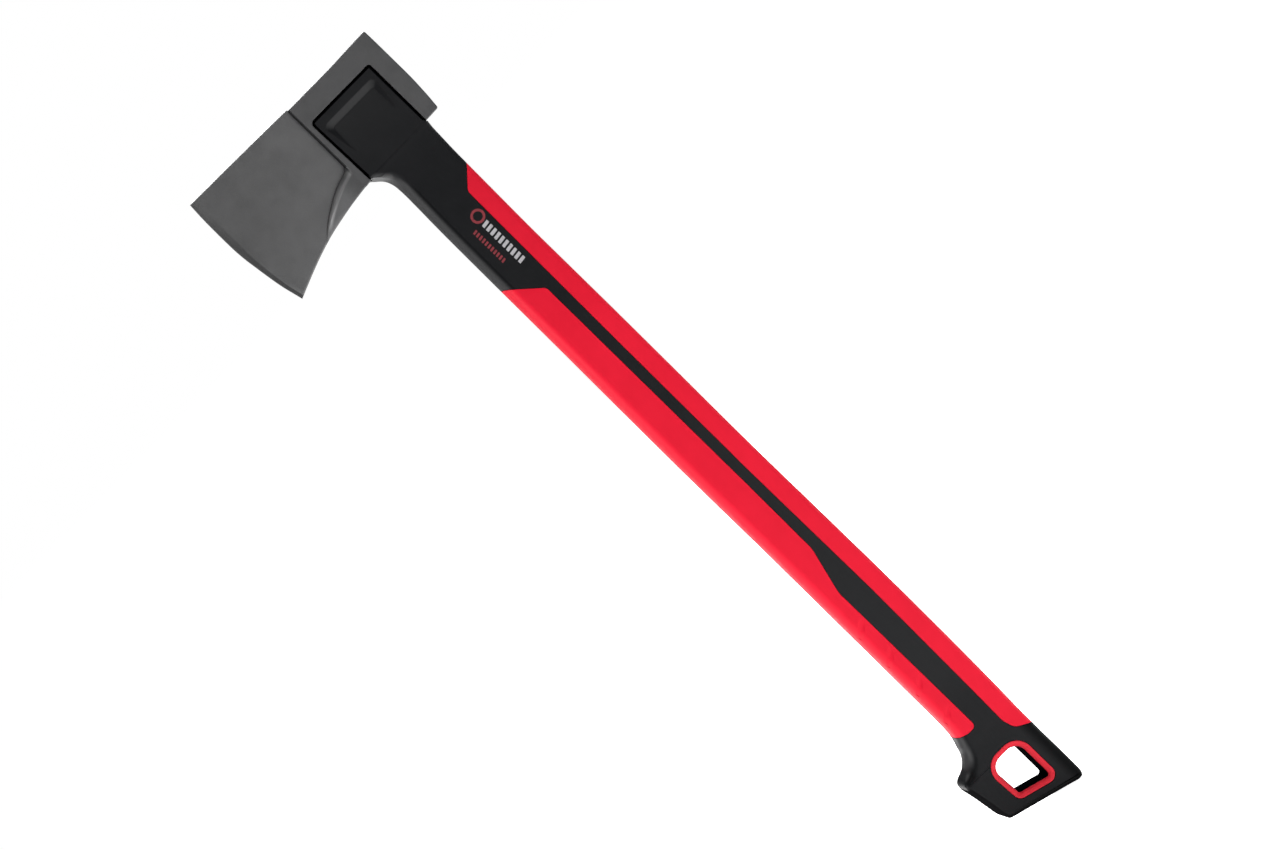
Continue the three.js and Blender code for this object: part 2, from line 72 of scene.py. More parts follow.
POCKET = dict(x0t=-34.1, x0b=-32.6, x1=23.2, top=688.0, r0=3.5, r1=2.2)
LOCK_HOLES = [(-17, 662), (6, 662)]
LOCK_R = 7.0

BUTT_SLOPE = math.tan(math.radians(15.5))


def butt(x):
    return -BUTT_SLOPE * x


FRONT = np.array([
    (-32.2, 631.6, 19.9, 1.5), (-29.6, 630.1, 19.7, 2), (-27.1, 627.7, 19.4, 3), (-23.9, 624.3, 19, 4.5),
    (-21.9, 620.2, 18.5, 5.8), (-20.75, 614, 17.9, 6.4), (-20.55, 606, 17.3, 6.5), (-20.8, 595, 16.8, 6.5),
    (-21.5, 566, 16.2, 6.5), (-21.9, 520, 15.6, 6.5), (-22.2, 461, 15.5, 6.5), (-22.7, 400, 15.5, 6.5),
    (-23.15, 323, 15.5, 6.5), (-22.85, 254, 15.5, 6.5), (-23, 190, 15.5, 6.5), (-23.1, 133, 15.5, 6.5),
    (-23.2, 98, 15.4, 6.4), (-23.5, 80, 15.3, 6.3), (-24.9, 72, 15.2, 6.2), (-26.6, 67.4, 15.1, 6.6),
    (-27.8, 63.6, 15, 7.0), (-29.9, 59.8, 15, 7.2), (-32.4, 56.7, 15, 7.0), (-35.3, 54.0, 15, 6.2),
    (-38.8, 52.0, 15, 5), (-42.3, 50.0, 15, 4), (-44.45, 46.6, 15, 3.3), (-44.55, 43.4, 15, 3), (-43.5, 38, 15, 3),
    (-42.0, 30.5, 15, 3), (-39.95, 17.0, 15, 3), (-39.0, 12.9, 15, 3), (-37.3, 10.45, 15, 3),
    (-35.2, butt(-35.2), 15, 3), (-29, butt(-29), 15, 3), (-20, butt(-20), 15, 3), (-11, butt(-11), 15, 3),
])
BACK = np.array([
    (23.65, 633.4, 19.9, 1.5), (23.65, 631.4, 19.7, 2), (23.55, 629.2, 19.4, 3), (23.45, 625.4, 19, 3.8),
    (23.35, 620.6, 18.5, 4), (23.15, 614, 17.9, 4), (22.9, 606, 17.3, 4), (22.75, 595, 16.8, 4),
    (22.4, 566, 16.2, 4), (21.95, 520, 15.6, 4), (22, 461, 15.5, 4), (21.8, 400, 15.5, 4), (21.45, 323, 15.5, 4),
    (21.9, 254, 15.5, 4), (22.25, 190, 15.5, 4), (21.9, 133, 15.5, 4), (21.4, 98, 15.4, 4), (21.05, 80, 15.3, 4),
    (20.85, 74, 15.2, 4), (20.7, 69, 15.1, 4), (20.6, 65, 15, 4), (20.45, 60.5, 15, 4), (20.45, 57, 15, 4),
    (20.4, 54, 15, 4), (20.4, 51, 15, 4), (20.4, 48, 15, 4), (20.35, 44.5, 15, 4), (20.3, 41, 15, 4),
    (20.25, 35, 15, 4), (20.2, 27, 15, 3.5), (20.15, 17, 15, 3), (20.1, 7, 15, 3), (19.9, 0.2, 15, 3),
    (18.2, -3.7, 15, 3), (15.1, butt(15.1), 15, 3), (9, butt(9), 15, 3), (0, 0, 15, 3),
])
GROOVE_W = 1.1
GROOVE_D = 3.2
CHEEK_T = 19.9
PANEL_T = 17.2
PANEL_FOOT = 650.0
PANEL_TOP = 675.2
PANEL_SLOPE_W = 4.4
PANEL_X0 = -25.2
PANEL_X1 = 14.2
GRIP_SKIN = 2.8
BACK_GRIP = [
    (36, 607, 0), (8.7, 578.4, 6), (8.3, 530, 0), (7.4, 426, 0), (6.9, 306, 0), (7.8, 190, 0), (6.7, 98, 0),
    (6.1, 62, 12), (8.6, 52.8, 9), (20, 46.6, 0), (36, 42, 0),
]
FRONT_GRIP = [
    (-36, 525.6, 0), (-0.8, 493.4, 5), (-0.8, 300, 0), (-1.2, 238, 26), (-10, 204, 26), (-9.6, 130, 0),
    (-9.4, 72.4, 6), (-16.5, 72.5, 0), (-22.6, 74.2, 0), (-25.4, 75.7, 0), (-36, 81.6, 0),
]
NOTCH_Z = [170, 142.5, 114.5, 87]
NOTCH_D = 0.8
NOTCH_R = 6.5
CORE = dict(hx=11.5, hy=5.5, z0=62.0, z1=628.0, x=-0.3)
RING_OUT = [(-26.9, 49.2, 13), (7.0, 49.2, 13), (7.0, 6.5, 6.5), (-24.9, 15.4, 6)]
LIP_W = 4.5
LIP_D = 5.0
LIP_SKIN = 2.6
KNOB_T = 15.0


# ------------------------------------------------------------------ curves
def pchip(xs, ys, q):
    """Shape-preserving cubic through (xs, ys): values and slopes at q."""
    xs, ys, q = np.asarray(xs, float), np.asarray(ys, float), np.asarray(q, float)
    h = np.diff(xs)
    d = np.diff(ys) / h
    m = np.zeros(len(xs))
    for i in range(1, len(xs) - 1):
        if d[i - 1] * d[i] > 0:
            w1, w2 = 2 * h[i] + h[i - 1], h[i] + 2 * h[i - 1]
            m[i] = (w1 + w2) / (w1 / d[i - 1] + w2 / d[i])
    m[0], m[-1] = d[0], d[-1]
    i = np.clip(np.searchsorted(xs, q, side="right") - 1, 0, len(xs) - 2)
    t = (q - xs[i]) / h[i]
    h00, h10 = 2 * t**3 - 3 * t**2 + 1, t**3 - 2 * t**2 + t
    h01, h11 = -2 * t**3 + 3 * t**2, t**3 - t**2
    val = h00 * ys[i] + h10 * h[i] * m[i] + h01 * ys[i + 1] + h11 * h[i] * m[i + 1]
    g00, g10 = (6 * t**2 - 6 * t) / h[i], 3 * t**2 - 4 * t + 1
    g01, g11 = (-6 * t**2 + 6 * t) / h[i], 3 * t**2 - 2 * t
    return val, g00 * ys[i] + g10 * m[i] + g01 * ys[i + 1] + g11 * m[i + 1]


def curve(table):
    """y(x) through a table of (x, y)."""
    xs, ys = zip(*table)
    return lambda q: pchip(xs, ys, q)[0]


def rounded(pts, seg=8):
    """Corner rounding: (x, z, radius) to a list of (x, z)."""
    out = []
    n = len(pts)
    for i, p in enumerate(pts):
        x, y = p[0], p[1]
        r = p[2] if len(p) > 2 else 0
        if not r:
            out.append((x, y))
            continue
        a, b = pts[i - 1], pts[(i + 1) % n]
        u, w = np.array([a[0] - x, a[1] - y], float), np.array([b[0] - x, b[1] - y], float)
        lu, lw = np.linalg.norm(u), np.linalg.norm(w)
        u, w = u / lu, w / lw
        half = math.acos(max(-1, min(1, float(u @ w)))) / 2
        t = min(r / math.tan(half), lu * 0.49, lw * 0.49)
        rr = t * math.tan(half)
        bis = (u + w) / np.linalg.norm(u + w)
        c = np.array([x, y]) + bis * rr / math.sin(half)
        s, e = np.array([x, y]) + u * t - c, np.array([x, y]) + w * t - c
        a0 = math.atan2(s[1], s[0])
        da = math.atan2(e[1], e[0]) - a0
        da = (da + math.pi) % (2 * math.pi) - math.pi
        for k in range(seg + 1):
            q = a0 + da * k / seg
            out.append((c[0] + rr * math.cos(q), c[1] + rr * math.sin(q)))
    return out


def area(pts):
    p = np.array([(q[0], q[1]) for q in pts])
    x, y = p[:, 0], p[:, 1]
    return 0.5 * float(np.sum(x * np.roll(y, -1) - np.roll(x, -1) * y))


def offset(pts, d):
    """Move an outline by d along its outward normals; a third value of a point is kept."""
    s = 1 if area(pts) > 0 else -1
    n = len(pts)
    out = []
    for i, p in enumerate(pts):
        a, b = pts[i - 1], pts[(i + 1) % n]
        n1 = np.array([p[1] - a[1], a[0] - p[0]], float)
        n2 = np.array([b[1] - p[1], p[0] - b[0]], float)
        n1 /= np.linalg.norm(n1) or 1
        n2 /= np.linalg.norm(n2) or 1
        m = n1 + n2
        k = max(float(m @ m) / 2, 0.35)
        out.append((p[0] + s * d * m[0] / k, p[1] + s * d * m[1] / k, *p[2:]))
    return out


def dense(pts, step):
    """Adds points along the long straight sides of an outline."""
    out = []
    n = len(pts)
    for i, p in enumerate(pts):
        b = pts[(i + 1) % n]
        k = max(1, int(math.hypot(b[0] - p[0], b[1] - p[1]) / step))
        out += [(p[0] + (b[0] - p[0]) * j / k, p[1] + (b[1] - p[1]) * j / k) for j in range(k)]
    return out


# ------------------------------------------------------------------ solids
def solid(name, verts, faces):
    """A closed mesh in millimetres, faces pointing out."""
    me = bpy.data.meshes.new(name)
    v = np.asarray(verts, float)
    vol = 0.0
    for f in faces:
        a = v[f[0]]
        for i in range(1, len(f) - 1):
            vol += float(np.dot(a, np.cross(v[f[i]], v[f[i + 1]])))
    if vol < 0:
        faces = [tuple(reversed(f)) for f in faces]
    me.from_pydata([tuple(p) for p in v], [], [tuple(f) for f in faces])
    me.update()
    ob = bpy.data.objects.new(name, me)
    bpy.context.scene.collection.objects.link(ob)
    return ob


def loft(name, rings, ladder=False):
    """Closed skin over rings with the same number of points."""
    n = len(rings[0])
    verts = [p for r in rings for p in r]
    faces = []
    for k in range(len(rings) - 1):
        for i in range(n):
            a, b = k * n + i, k * n + (i + 1) % n
            faces.append((a, b, b + n, a + n))
    last = (len(rings) - 1) * n
    if ladder:
        for base, flip in ((0, True), (last, False)):
            for i in range(n // 2 - 1):
                q = (base + i, base + i + 1, base + n - 2 - i, base + n - 1 - i)
                faces.append(tuple(reversed(q)) if flip else q)
    else:
        faces.append(tuple(range(n - 1, -1, -1)))
        faces.append(tuple(range(last, last + n)))
    return solid(name, verts, faces)


def y_prism(name, outline, y0, y1, e0=0.0, e1=0.0, seg=6):
    """Prism of an [x, z] outline between two Y levels. outline(inset) gives the points; e0, e1 round the end edges."""
    if not callable(outline):
        fixed = outline
        outline = lambda inset: fixed if not inset else offset(fixed, -inset)
    rings = []

    def ring(inset, y):
        rings.append([(p[0], y, p[1]) for p in outline(inset)])

    if e0:
        for k in range(seg + 1):
            a = k / seg * math.pi / 2
            ring(e0 * (1 - math.sin(a)), y0 + e0 * (1 - math.cos(a)))
    else:
        ring(0, y0)
    if e1:
        for k in range(seg, -1, -1):
            a = k / seg * math.pi / 2
            ring(e1 * (1 - math.sin(a)), y1 - e1 * (1 - math.cos(a)))
    else:
        ring(0, y1)
    return loft(name, rings)


def z_prism(name, pts, z0, z1):
    return loft(name, [[(x, y, z0) for x, y in pts], [(x, y, z1) for x, y in pts]])


def y_cylinder(name, x, z, r, y0, y1, seg=48):
    pts = [(x + r * math.cos(2 * math.pi * k / seg), z + r * math.sin(2 * math.pi * k / seg)) for k in range(seg)]
    return y_prism(name, pts, y0, y1)


def copy_of(ob, name="copy"):
    o = bpy.data.objects.new(name, ob.data.copy())
    bpy.context.scene.collection.objects.link(o)
    return o


def gather(name, obs):
    """Several separate solids as one object."""
    verts, faces = [], []
    for ob in obs:
        base = len(verts)
        verts += [tuple(v.co) for v in ob.data.vertices]
        faces += [tuple(base + i for i in p.vertices) for p in ob.data.polygons]
        bpy.data.objects.remove(ob)
    me = bpy.data.meshes.new(name)
    me.from_pydata(verts, [], faces)
    me.update()
    o = bpy.data.objects.new(name, me)
    bpy.context.scene.collection.objects.link(o)
    return o


def combine(op, a, *tools, keep=False):
    """a = a op tool, one tool after another, with closed solids only."""
    for b in tools:
        m = a.modifiers.new("b", "BOOLEAN")
        m.operation = op
        m.solver = "MANIFOLD"
        m.object = b
        dg = bpy.context.evaluated_depsgraph_get()
        dg.update()
        me = bpy.data.meshes.new_from_object(a.evaluated_get(dg))
        a.modifiers.clear()
        old = a.data
        a.data = me
        bpy.data.meshes.remove(old)
        if not me.polygons:
            raise RuntimeError("boolean left nothing: " + a.name + " " + op + " " + b.name)
        if not keep:
            bpy.data.objects.remove(b)
    return a


def add(a, *b):
    return combine("UNION", a, *b)


def cut(a, *b, keep=False):
    return combine("DIFFERENCE", a, *b, keep=keep)


def common(a, *b, keep=False):
    return combine("INTERSECT", a, *b, keep=keep)


def finish_piece(ob, name, angle=28, weighted=True):
    """Millimetres to metres, tidy vertices, smooth shading split at real edges."""
    import bmesh

    ob.name = name
    ob.data.name = name
    bm = bmesh.new()
    bm.from_mesh(ob.data)
    bmesh.ops.remove_doubles(bm, verts=bm.verts, dist=0.004)
    bmesh.ops.dissolve_degenerate(bm, edges=bm.edges, dist=0.003)
    bmesh.ops.scale(bm, vec=(MM, MM, MM), verts=bm.verts)
    bm.normal_update()
    open_edges = sum(1 for e in bm.edges if not e.is_manifold)
    bm.to_mesh(ob.data)
    bm.free()
    if open_edges:
        print("note:", name, "has", open_edges, "open edges")
    ob.data.polygons.foreach_set("use_smooth", [True] * len(ob.data.polygons))
    ob.data.set_sharp_from_angle(angle=math.radians(angle))
    if weighted:
        m = ob.modifiers.new("weighted normals", "WEIGHTED_NORMAL")
        m.keep_sharp = True
        m.weight = 50
        m.mode = "FACE_AREA"
    print(name, len(ob.data.vertices), "vertices", len(ob.data.polygons), "faces")
    return ob


# ------------------------------------------------------------------ head
edge_x = curve(EDGE_CURVE)
blade_bottom = curve(BLADE_BOTTOM)
ridge_z = curve(RIDGE)
poll_x = curve(POLL)


def blade_half(x):
    return BLADE_T + BLADE_SLOPE * (x - BLOCK_X0)


def blade_top(x):
    if x > -36.5:  # inside the block
        return 702.0
    return 706.3 + (708.2 - 706.3) * (BLOCK_X0 - 1 - x) / (BLOCK_X0 - 1 + 129.5) + 0.2 * math.sin(
        math.pi * min(max((BLOCK_X0 - x) / 92.0, 0), 1)
    )


def make_blade():
    inner = -20.0
    stations = [0, 0.12, 0.3, 0.5, 0.72, 0.9, 1.0] + [1 + t for t in
                np.concatenate([np.linspace(0.012, 0.1, 5), np.linspace(0.13, 1, 26)])]
    nz, arc = 44, 5
    rings = []
    for s in stations:
        def sx(z):
            xe = float(edge_x(z))
            k = min(max((z - 609) / 98, 0), 1)
            bw = BEVEL_W_HEEL + (BEVEL_W_TOE - BEVEL_W_HEEL) * k
            if s <= 1:
                return xe + bw * s, bw
            return xe + bw + (inner - xe - bw) * (s - 1), bw

        def half(z):
            x, bw = sx(z)
            xe = float(edge_x(z))
            yb = max(blade_half(xe + bw), 0.9)
            if s <= 1:
                t = s
                return EDGE_T + (yb - EDGE_T) * (t + 0.22 * t * (1 - t))
            return max(blade_half(x), 0.9)

        zb, zt = 609.0, 707.0
        for _ in range(12):
            zb = float(blade_bottom(sx(zb)[0]))
            zt = blade_top(sx(zt)[0])
        ring_z = []
        r0 = min(1.2, 0.8 * half(zb))
        r1 = min(1.0, 0.8 * half(zt))
        side = []
        for k in range(arc + 1):
            a = k / arc * math.pi / 2
            side.append((zb + r0 * (1 - math.cos(a)), r0 * (1 - math.sin(a))))
        for k in range(1, nz):
            side.append((zb + r0 + (zt - zb - r0 - r1) * k / nz, 0))
        for k in range(arc, -1, -1):
            a = k / arc * math.pi / 2
            side.append((zt - r1 * (1 - math.cos(a)), r1 * (1 - math.sin(a))))
        plus = [(sx(z)[0], half(z) - drop, z) for z, drop in side]
        minus = [(x, -y, z) for x, y, z in reversed(plus)]
        rings.append(plus + minus)
    return loft("blade", rings)


def top_dip(x):
    t = min(max((34 - x) / 36, 0), 1)
    return 0.9 * t * t * (3 - 2 * t)


def make_block():
    zs = np.linspace(633.0, HEAD_TOP, 22)
    top = [(x, HEAD_TOP - top_dip(x)) for x in np.linspace(36.9, BLOCK_X0, 26)[1:-1]]
    base = (
        [(BLOCK_X0, 630.1, 0.9), (-34.8, 630.6, 0), (-17, 631.2, 0), (0, 631.8, 0), (17, 632.4, 0)]
        + [(35.1, 633.0, 1.6)]
        + [(float(poll_x(z)), float(z), 0) for z in zs[1:-1]]
        + [(36.9, HEAD_TOP, 1.5)]
        + [(x, z, 0) for x, z in top]
        + [(BLOCK_X0, HEAD_TOP - top_dip(BLOCK_X0), 0.9)]
        + [(BLOCK_X0, z, 0) for z in np.linspace(HEAD_TOP, 630.1, 16)[1:-1]]
    )

    def outline(inset):
        moved = offset(base, -inset)
        return rounded([(x, z, max(r - inset, 0.25) if r else 0) for x, z, r in moved], 6)

    return y_prism("block", outline, -BLOCK_T, BLOCK_T, BLOCK_EDGE, BLOCK_EDGE, 6)


def make_beard():
    """Tapered boss under the step: as thick as the block at the step, lost in the blade at its tip, with a soft ridge."""
    x1 = -82.0
    h1 = blade_half(x1)
    rings = []
    for x in np.concatenate([np.linspace(-84.0, -40.0, 56), np.linspace(-39.2, -33.4, 9)]):
        x = float(x)
        h = BLOCK_T + (h1 - BLOCK_T) * (x - BLOCK_X0) / (x1 - BLOCK_X0)
        # soft shoulder where the taper meets the block
        k = 1.6
        h = BLOCK_T - k * math.log1p(math.exp((BLOCK_T - h) / k)) + k * math.log(2) * math.exp(-max(BLOCK_T - h, 0) / 3)
        h = min(h, BLOCK_T)
        if x > BLOCK_X0 + 0.2:
            h = BLOCK_T
        zb, zr = float(blade_bottom(x)), float(ridge_z(x))
        step = max(h - blade_half(x), 0.0)
        rz = min(4.8, 0.55 * (zr - zb), 0.6 + step * 1.1)
        ry = min(max(step, 0.5) * 0.95, 6.0, h - 0.5)
        rb = min(1.2, 0.35 * (zr - zb), 0.3 * h)
        side = []
        lean = 0.16 * (zr - zb) * min(max((BLOCK_X0 - x) / 14.0, 0), 1) ** 1.5
        lean = min(lean, 0.6 * step)
        for q in range(7):
            a = q / 6 * math.pi / 2
            side.append((h - lean - rb * (1 - math.sin(a)), zb + rb * (1 - math.cos(a))))
        for q in range(9):
            a = q / 8 * math.pi / 2
            side.append((h - ry * (1 - math.cos(a)), zr - rz * (1 - math.sin(a))))
        plus = [(x, y, z) for y, z in side]
        minus = [(x, -y, z) for y, z in reversed(side)]
        rings.append(plus + minus)
    return loft("beard", rings)


def pocket_outline(inset=0.0):
    p = POCKET
    flat = offset([(p["x0b"], 620), (p["x1"], 620), (p["x1"], p["top"]), (p["x0t"], p["top"])], -inset)
    r = [0, 0, p["r1"], p["r0"]]
    return rounded([(x, z, max(q - inset, 0.8) if q else 0) for (x, z), q in zip(flat, r)], 10)


def make_head():
    blade, block, beard = make_blade(), make_block(), make_beard()
    head = add(block, blade, beard)
    for s in (1, -1):
        levels = [(0, WEB_T), (0, BLOCK_T - 0.6), (-0.12, BLOCK_T - 0.32), (-0.45, BLOCK_T - 0.04), (-0.6, BLOCK_T + 0.2), (-0.6, 26)]
        cutter = loft("pocket", [[(x, s * y, z) for x, z in pocket_outline(i)] for i, y in levels])
        head = cut(head, cutter)
    head = cut(head, gather("holes", [y_cylinder("h", x, z, LOCK_R, -30, 30) for x, z in LOCK_HOLES]))
    return finish_piece(head, "axe_head_forging", 32)


# ------------------------------------------------------------------ handle
def station_params():
    t = []
    for i in range(len(FRONT) - 1):
        length = max(math.hypot(*(FRONT[i + 1][:2] - FRONT[i][:2])), math.hypot(*(BACK[i + 1][:2] - BACK[i][:2])))
        k = max(3, int(length / 4.5))
        t += [i + j / k for j in range(k)]
    return np.array(t + [len(FRONT) - 1.0])


STATIONS = station_params()


def chain(table):
    idx = np.arange(len(table))
    cols = [pchip(idx, table[:, c], STATIONS) for c in range(4)]
    return cols[0][0], cols[1][0], cols[2][0], cols[3][0], cols[0][1], cols[1][1]


ARC = 11


def handle_rings(inset):
    fx, fz, ft, fr, fdx, fdz = chain(FRONT)
    bx, bz, bt, br, bdx, bdz = chain(BACK)
    rings = []
    for i in range(len(STATIONS)):
        def arc(px, pz, T, R, nx, nz, side):
            deep = R + max(R - 3, 0) * 1.35  # the edge is an ellipse, deeper along the thickness
            a_ = max(R - inset, 0.8)
            b_ = max(min(deep, T * 0.85) - inset, 0.8)
            t = T - inset
            pts = []
            for k in range(ARC + 1):
                a = k / ARC * math.pi / 2
                inn = inset + a_ * (1 - math.sin(a))
                pts.append((px - nx * inn, side * (t - b_ * (1 - math.cos(a))), pz - nz * inn))
            return pts

        lf = math.hypot(fdx[i], fdz[i])
        nf = (fdz[i] / lf, -fdx[i] / lf)
        lb = math.hypot(bdx[i], bdz[i])
        nb = (-bdz[i] / lb, bdx[i] / lb)
        f = (fx[i], fz[i], ft[i], fr[i], *nf)
        b = (bx[i], bz[i], bt[i], br[i], *nb)
        rings.append(arc(*f, -1) + arc(*f, 1)[::-1] + arc(*b, 1) + arc(*b, -1)[::-1])
    return rings


def cheek_outline(inset):
    p = POCKET
    flat = offset([(p["x0b"], 622), (p["x1"], 622), (p["x1"], p["top"]), (p["x0t"], p["top"])], -inset)
    r = [0, 0, max(p["r1"] - inset, 2.2), max(p["r0"] - inset, 3)]
    return rounded([(x, z, q) for (x, z), q in zip(flat, r)], 10)


def tray_ring(top, foot, y_top, y_foot, foot_z):
    """Outline of the sunk panel at one level; its floor rises from y_top under the rim to y_foot at its foot."""
    pts = rounded(
        [(PANEL_X0 - foot, foot_z, 0), (PANEL_X1 + foot, foot_z, 0), (PANEL_X1 + top, PANEL_TOP + top, 2.5 + top * 0.3),
         (PANEL_X0 - top, PANEL_TOP + top, 2.5 + top * 0.3)], 10)
    return [(x, y_top + (y_foot - y_top) * min(max(PANEL_TOP - z, 0), 100) / (PANEL_TOP - foot_z), z) for x, z in pts]


def region(pts, grow=0.0):
    return offset(rounded(pts, 14), grow)


def make_body():
    body = loft("body", handle_rings(0), ladder=True)
    above = y_prism("above", [(-60, 630.6), (60, 633.8), (60, 720), (-60, 720)], -40, 40)
    cheeks = []
    for s in (1, -1):
        def both_y(a, b):
            return (a, b) if s > 0 else (-b, -a)
        y0, y1 = both_y(WEB_T + GAP, CHEEK_T - GROOVE_D)
        deep = y_prism("deep", cheek_outline(GAP), y0, y1)
        y0, y1 = both_y(WEB_T + GAP, CHEEK_T)

        def rim_outline(inset):
            return cheek_outline(GROOVE_W + inset)

        rim = y_prism("rim", rim_outline, y0, y1, *((0, 0.6) if s > 0 else (0.6, 0)), 6)
        cheeks.append(common(add(deep, rim), above, keep=True))
    bpy.data.objects.remove(above)
    foot = []
    for s in (1, -1):
        y0, y1 = (WEB_T + GAP, 19) if s > 0 else (-19, -(WEB_T + GAP))
        foot.append(y_prism("foot", [(-26, 627.3), (20.5, 627.3), (20.5, 640), (-30.3, 640), (-30.3, 631.3)], y0, y1))
    plug = gather("plugs", [y_cylinder("p", x, z, LOCK_R - GAP, -12, 12) for x, z in LOCK_HOLES])
    body = add(body, *cheeks, *foot)
    neck_top = [(-40, 629.8), (-34.8, 630.2), (0, 631.4), (35.1, 632.6), (40, 632.8), (40, 660), (-40, 660)]
    clear = cut(y_prism("clear", neck_top, -30, 30), y_prism("inside", cheek_outline(GAP), -30.5, 30.5))
    body = cut(body, clear)
    body = cut(body, y_prism("web", neck_top, -(WEB_T + GAP), WEB_T + GAP))
    body = add(body, plug)
    for s in (1, -1):
        w, k = PANEL_SLOPE_W, CHEEK_T
        levels = [(-0.9, -0.9, PANEL_T, k + 0.1, 0), (-0.25, -0.25, PANEL_T + 0.06, k + 0.11, 0), (0.35, 0.1, PANEL_T + 0.34, k + 0.12, 0.3),
                  (w - 0.5, 0.4, k - 0.38, k + 0.14, 0.8), (w, 0.5, k - 0.1, k + 0.16, 1.0), (w + 0.7, 0.6, k + 0.02, k + 0.18, 1.2),
                  (w + 0.7, 0.6, 26, 26, 1.2)]
        body = cut(body, loft("tray", [[(x, s * y, z) for x, y, z in tray_ring(a, b, c, d, PANEL_FOOT - e)] for a, b, c, d, e in levels]))
    inner = loft("inner", handle_rings(GRIP_SKIN + GAP), ladder=True)
    rooms = gather("rooms", [y_prism("g", region(BACK_GRIP, GAP), -40, 40), y_prism("g", region(FRONT_GRIP, GAP), -40, 40)])
    rooms = cut(rooms, inner)
    body = cut(body, rooms)
    ring = rounded(RING_OUT, 12)
    body = cut(body, y_prism("throat", offset(ring, -LIP_W), -30, 30))
    for s in (1, -1):
        y0, y1 = (KNOB_T - LIP_D - GAP, KNOB_T + 5) if s > 0 else (-KNOB_T - 5, -(KNOB_T - LIP_D - GAP))
        body = cut(body, y_prism("room", offset(ring, GAP), y0, y1))
    pts = []
    a = CORE["hx"] - CORE["hy"]
    g = GAP
    for sgn, q0 in ((1, -math.pi / 2), (-1, math.pi / 2)):
        for k in range(9):
            q = q0 + math.pi * k / 8
            pts.append((CORE["x"] + sgn * a + (CORE["hy"] + g) * math.cos(q), (CORE["hy"] + g) * math.sin(q)))
    body = cut(body, z_prism("core room", pts, CORE["z0"] - GAP, 645))
    return finish_piece(body, "handle_moulding", 30)


def edge_point(x, z, s):
    """Point and outward normal on the rounded front edge of the shaft, at one side s."""
    xe = float(pchip(EDGE_Z, EDGE_XS, z)[0])
    a_, T = 6.5, 15.5
    b_ = a_ + (a_ - 3) * 1.35
    u = min(max((xe + a_ - x) / a_, 0.0), 1.0)
    y = T - b_ * (1 - math.sqrt(max(1 - u * u, 0.0)))
    n = Vector((-u / a_, s * math.sqrt(max(1 - u * u, 0.0)) / b_, 0)).normalized() if u > 0 else Vector((0, s, 0))
    return Vector((x, s * y, z)), n


EDGE_Z, EDGE_XS = zip(*sorted((float(r[1]), float(r[0])) for r in FRONT[8:18]))


def notch_tool(z, s):
    """Round-nosed bar bent round the front edge at 45 degrees, running out inwards."""
    n, rings = 24, []
    path = []
    for k in range(23):
        x = -10.4 - (k / 22) * 11.6
        p, nrm = edge_point(x, z + 4.4 + (x + 17.6), s)
        t = k / 22
        d = NOTCH_D * math.sin(math.pi * min(t / 0.62, 1) / 2) ** 1.5 * (1 if t < 0.62 else 1 - 0.6 * ((t - 0.62) / 0.38))
        path.append((p, nrm, d))
    for k, (p, nrm, d) in enumerate(path):
        q0, q1 = path[max(k - 1, 0)][0], path[min(k + 1, len(path) - 1)][0]
        t = (q1 - q0).normalized()
        u = (nrm - t * nrm.dot(t)).normalized()
        v = t.cross(u)
        c = p + u * (NOTCH_R - d + (0.25 if k == 0 else 0))
        rings.append([tuple(c + u * (NOTCH_R * math.cos(2 * math.pi * q / n)) + v * (NOTCH_R * math.sin(2 * math.pi * q / n))) for q in range(n)])
    return loft("notch", rings)


def make_grip(name, outline, notches):
    grip = loft(name, handle_rings(0), ladder=True)
    grip = cut(grip, loft("inner", handle_rings(GRIP_SKIN), ladder=True))
    grip = common(grip, y_prism("region", region(outline), -40, 40))
    if notches:
        tools = [notch_tool(z, side) for z in NOTCH_Z for side in (1, -1)]
        for t in tools:
            grip = cut(grip, t)
    return finish_piece(grip, name, 30)


def make_lip(name, s):
    """Soft lip: flush outside, folded into the hole and rounded over its mouth."""
    ring = rounded(RING_OUT, 12)

    def loop(inset, y):
        return [(x, s * y, z) for x, z in offset(ring, -inset)]

    K = KNOB_T
    prof = [
        # (inset, y): round the section of the lip
        (0.0, K - LIP_D + 0.1), (0.0, K - 0.45), (0.06, K - 0.2), (0.2, K - 0.06), (0.45, K), (1.0, K + 0.0), (1.35, K - 0.1),
        (2.0, K - 0.28), (2.7, K - 0.65), (3.3, K - 1.2), (3.75, K - 1.9), (4.1, K - 2.75), (4.33, K - 3.75), (LIP_W, K - LIP_D + 0.1),
        (LIP_W - 0.1, K - LIP_D), (LIP_SKIN + 0.3, K - LIP_D),
    ]
    # closed section swept round the hole
    n = len(ring)
    verts = []
    for i, y in prof:
        verts += loop(i, y)
    m = len(prof)
    faces = []
    for k in range(m):
        for i in range(n):
            a, b = k * n + i, k * n + (i + 1) % n
            c, d = ((k + 1) % m) * n + (i + 1) % n, ((k + 1) % m) * n + i
            faces.append((a, b, c, d))
    ob = solid(name, verts, faces)
    return finish_piece(ob, name, 40)


# ------------------------------------------------------------------ generic print on the shaft
def side_y(z):
    zz, tt = zip(*sorted((float(r[1]), float(r[2])) for r in FRONT[6:13]))
    return float(pchip(zz, tt, z)[0])


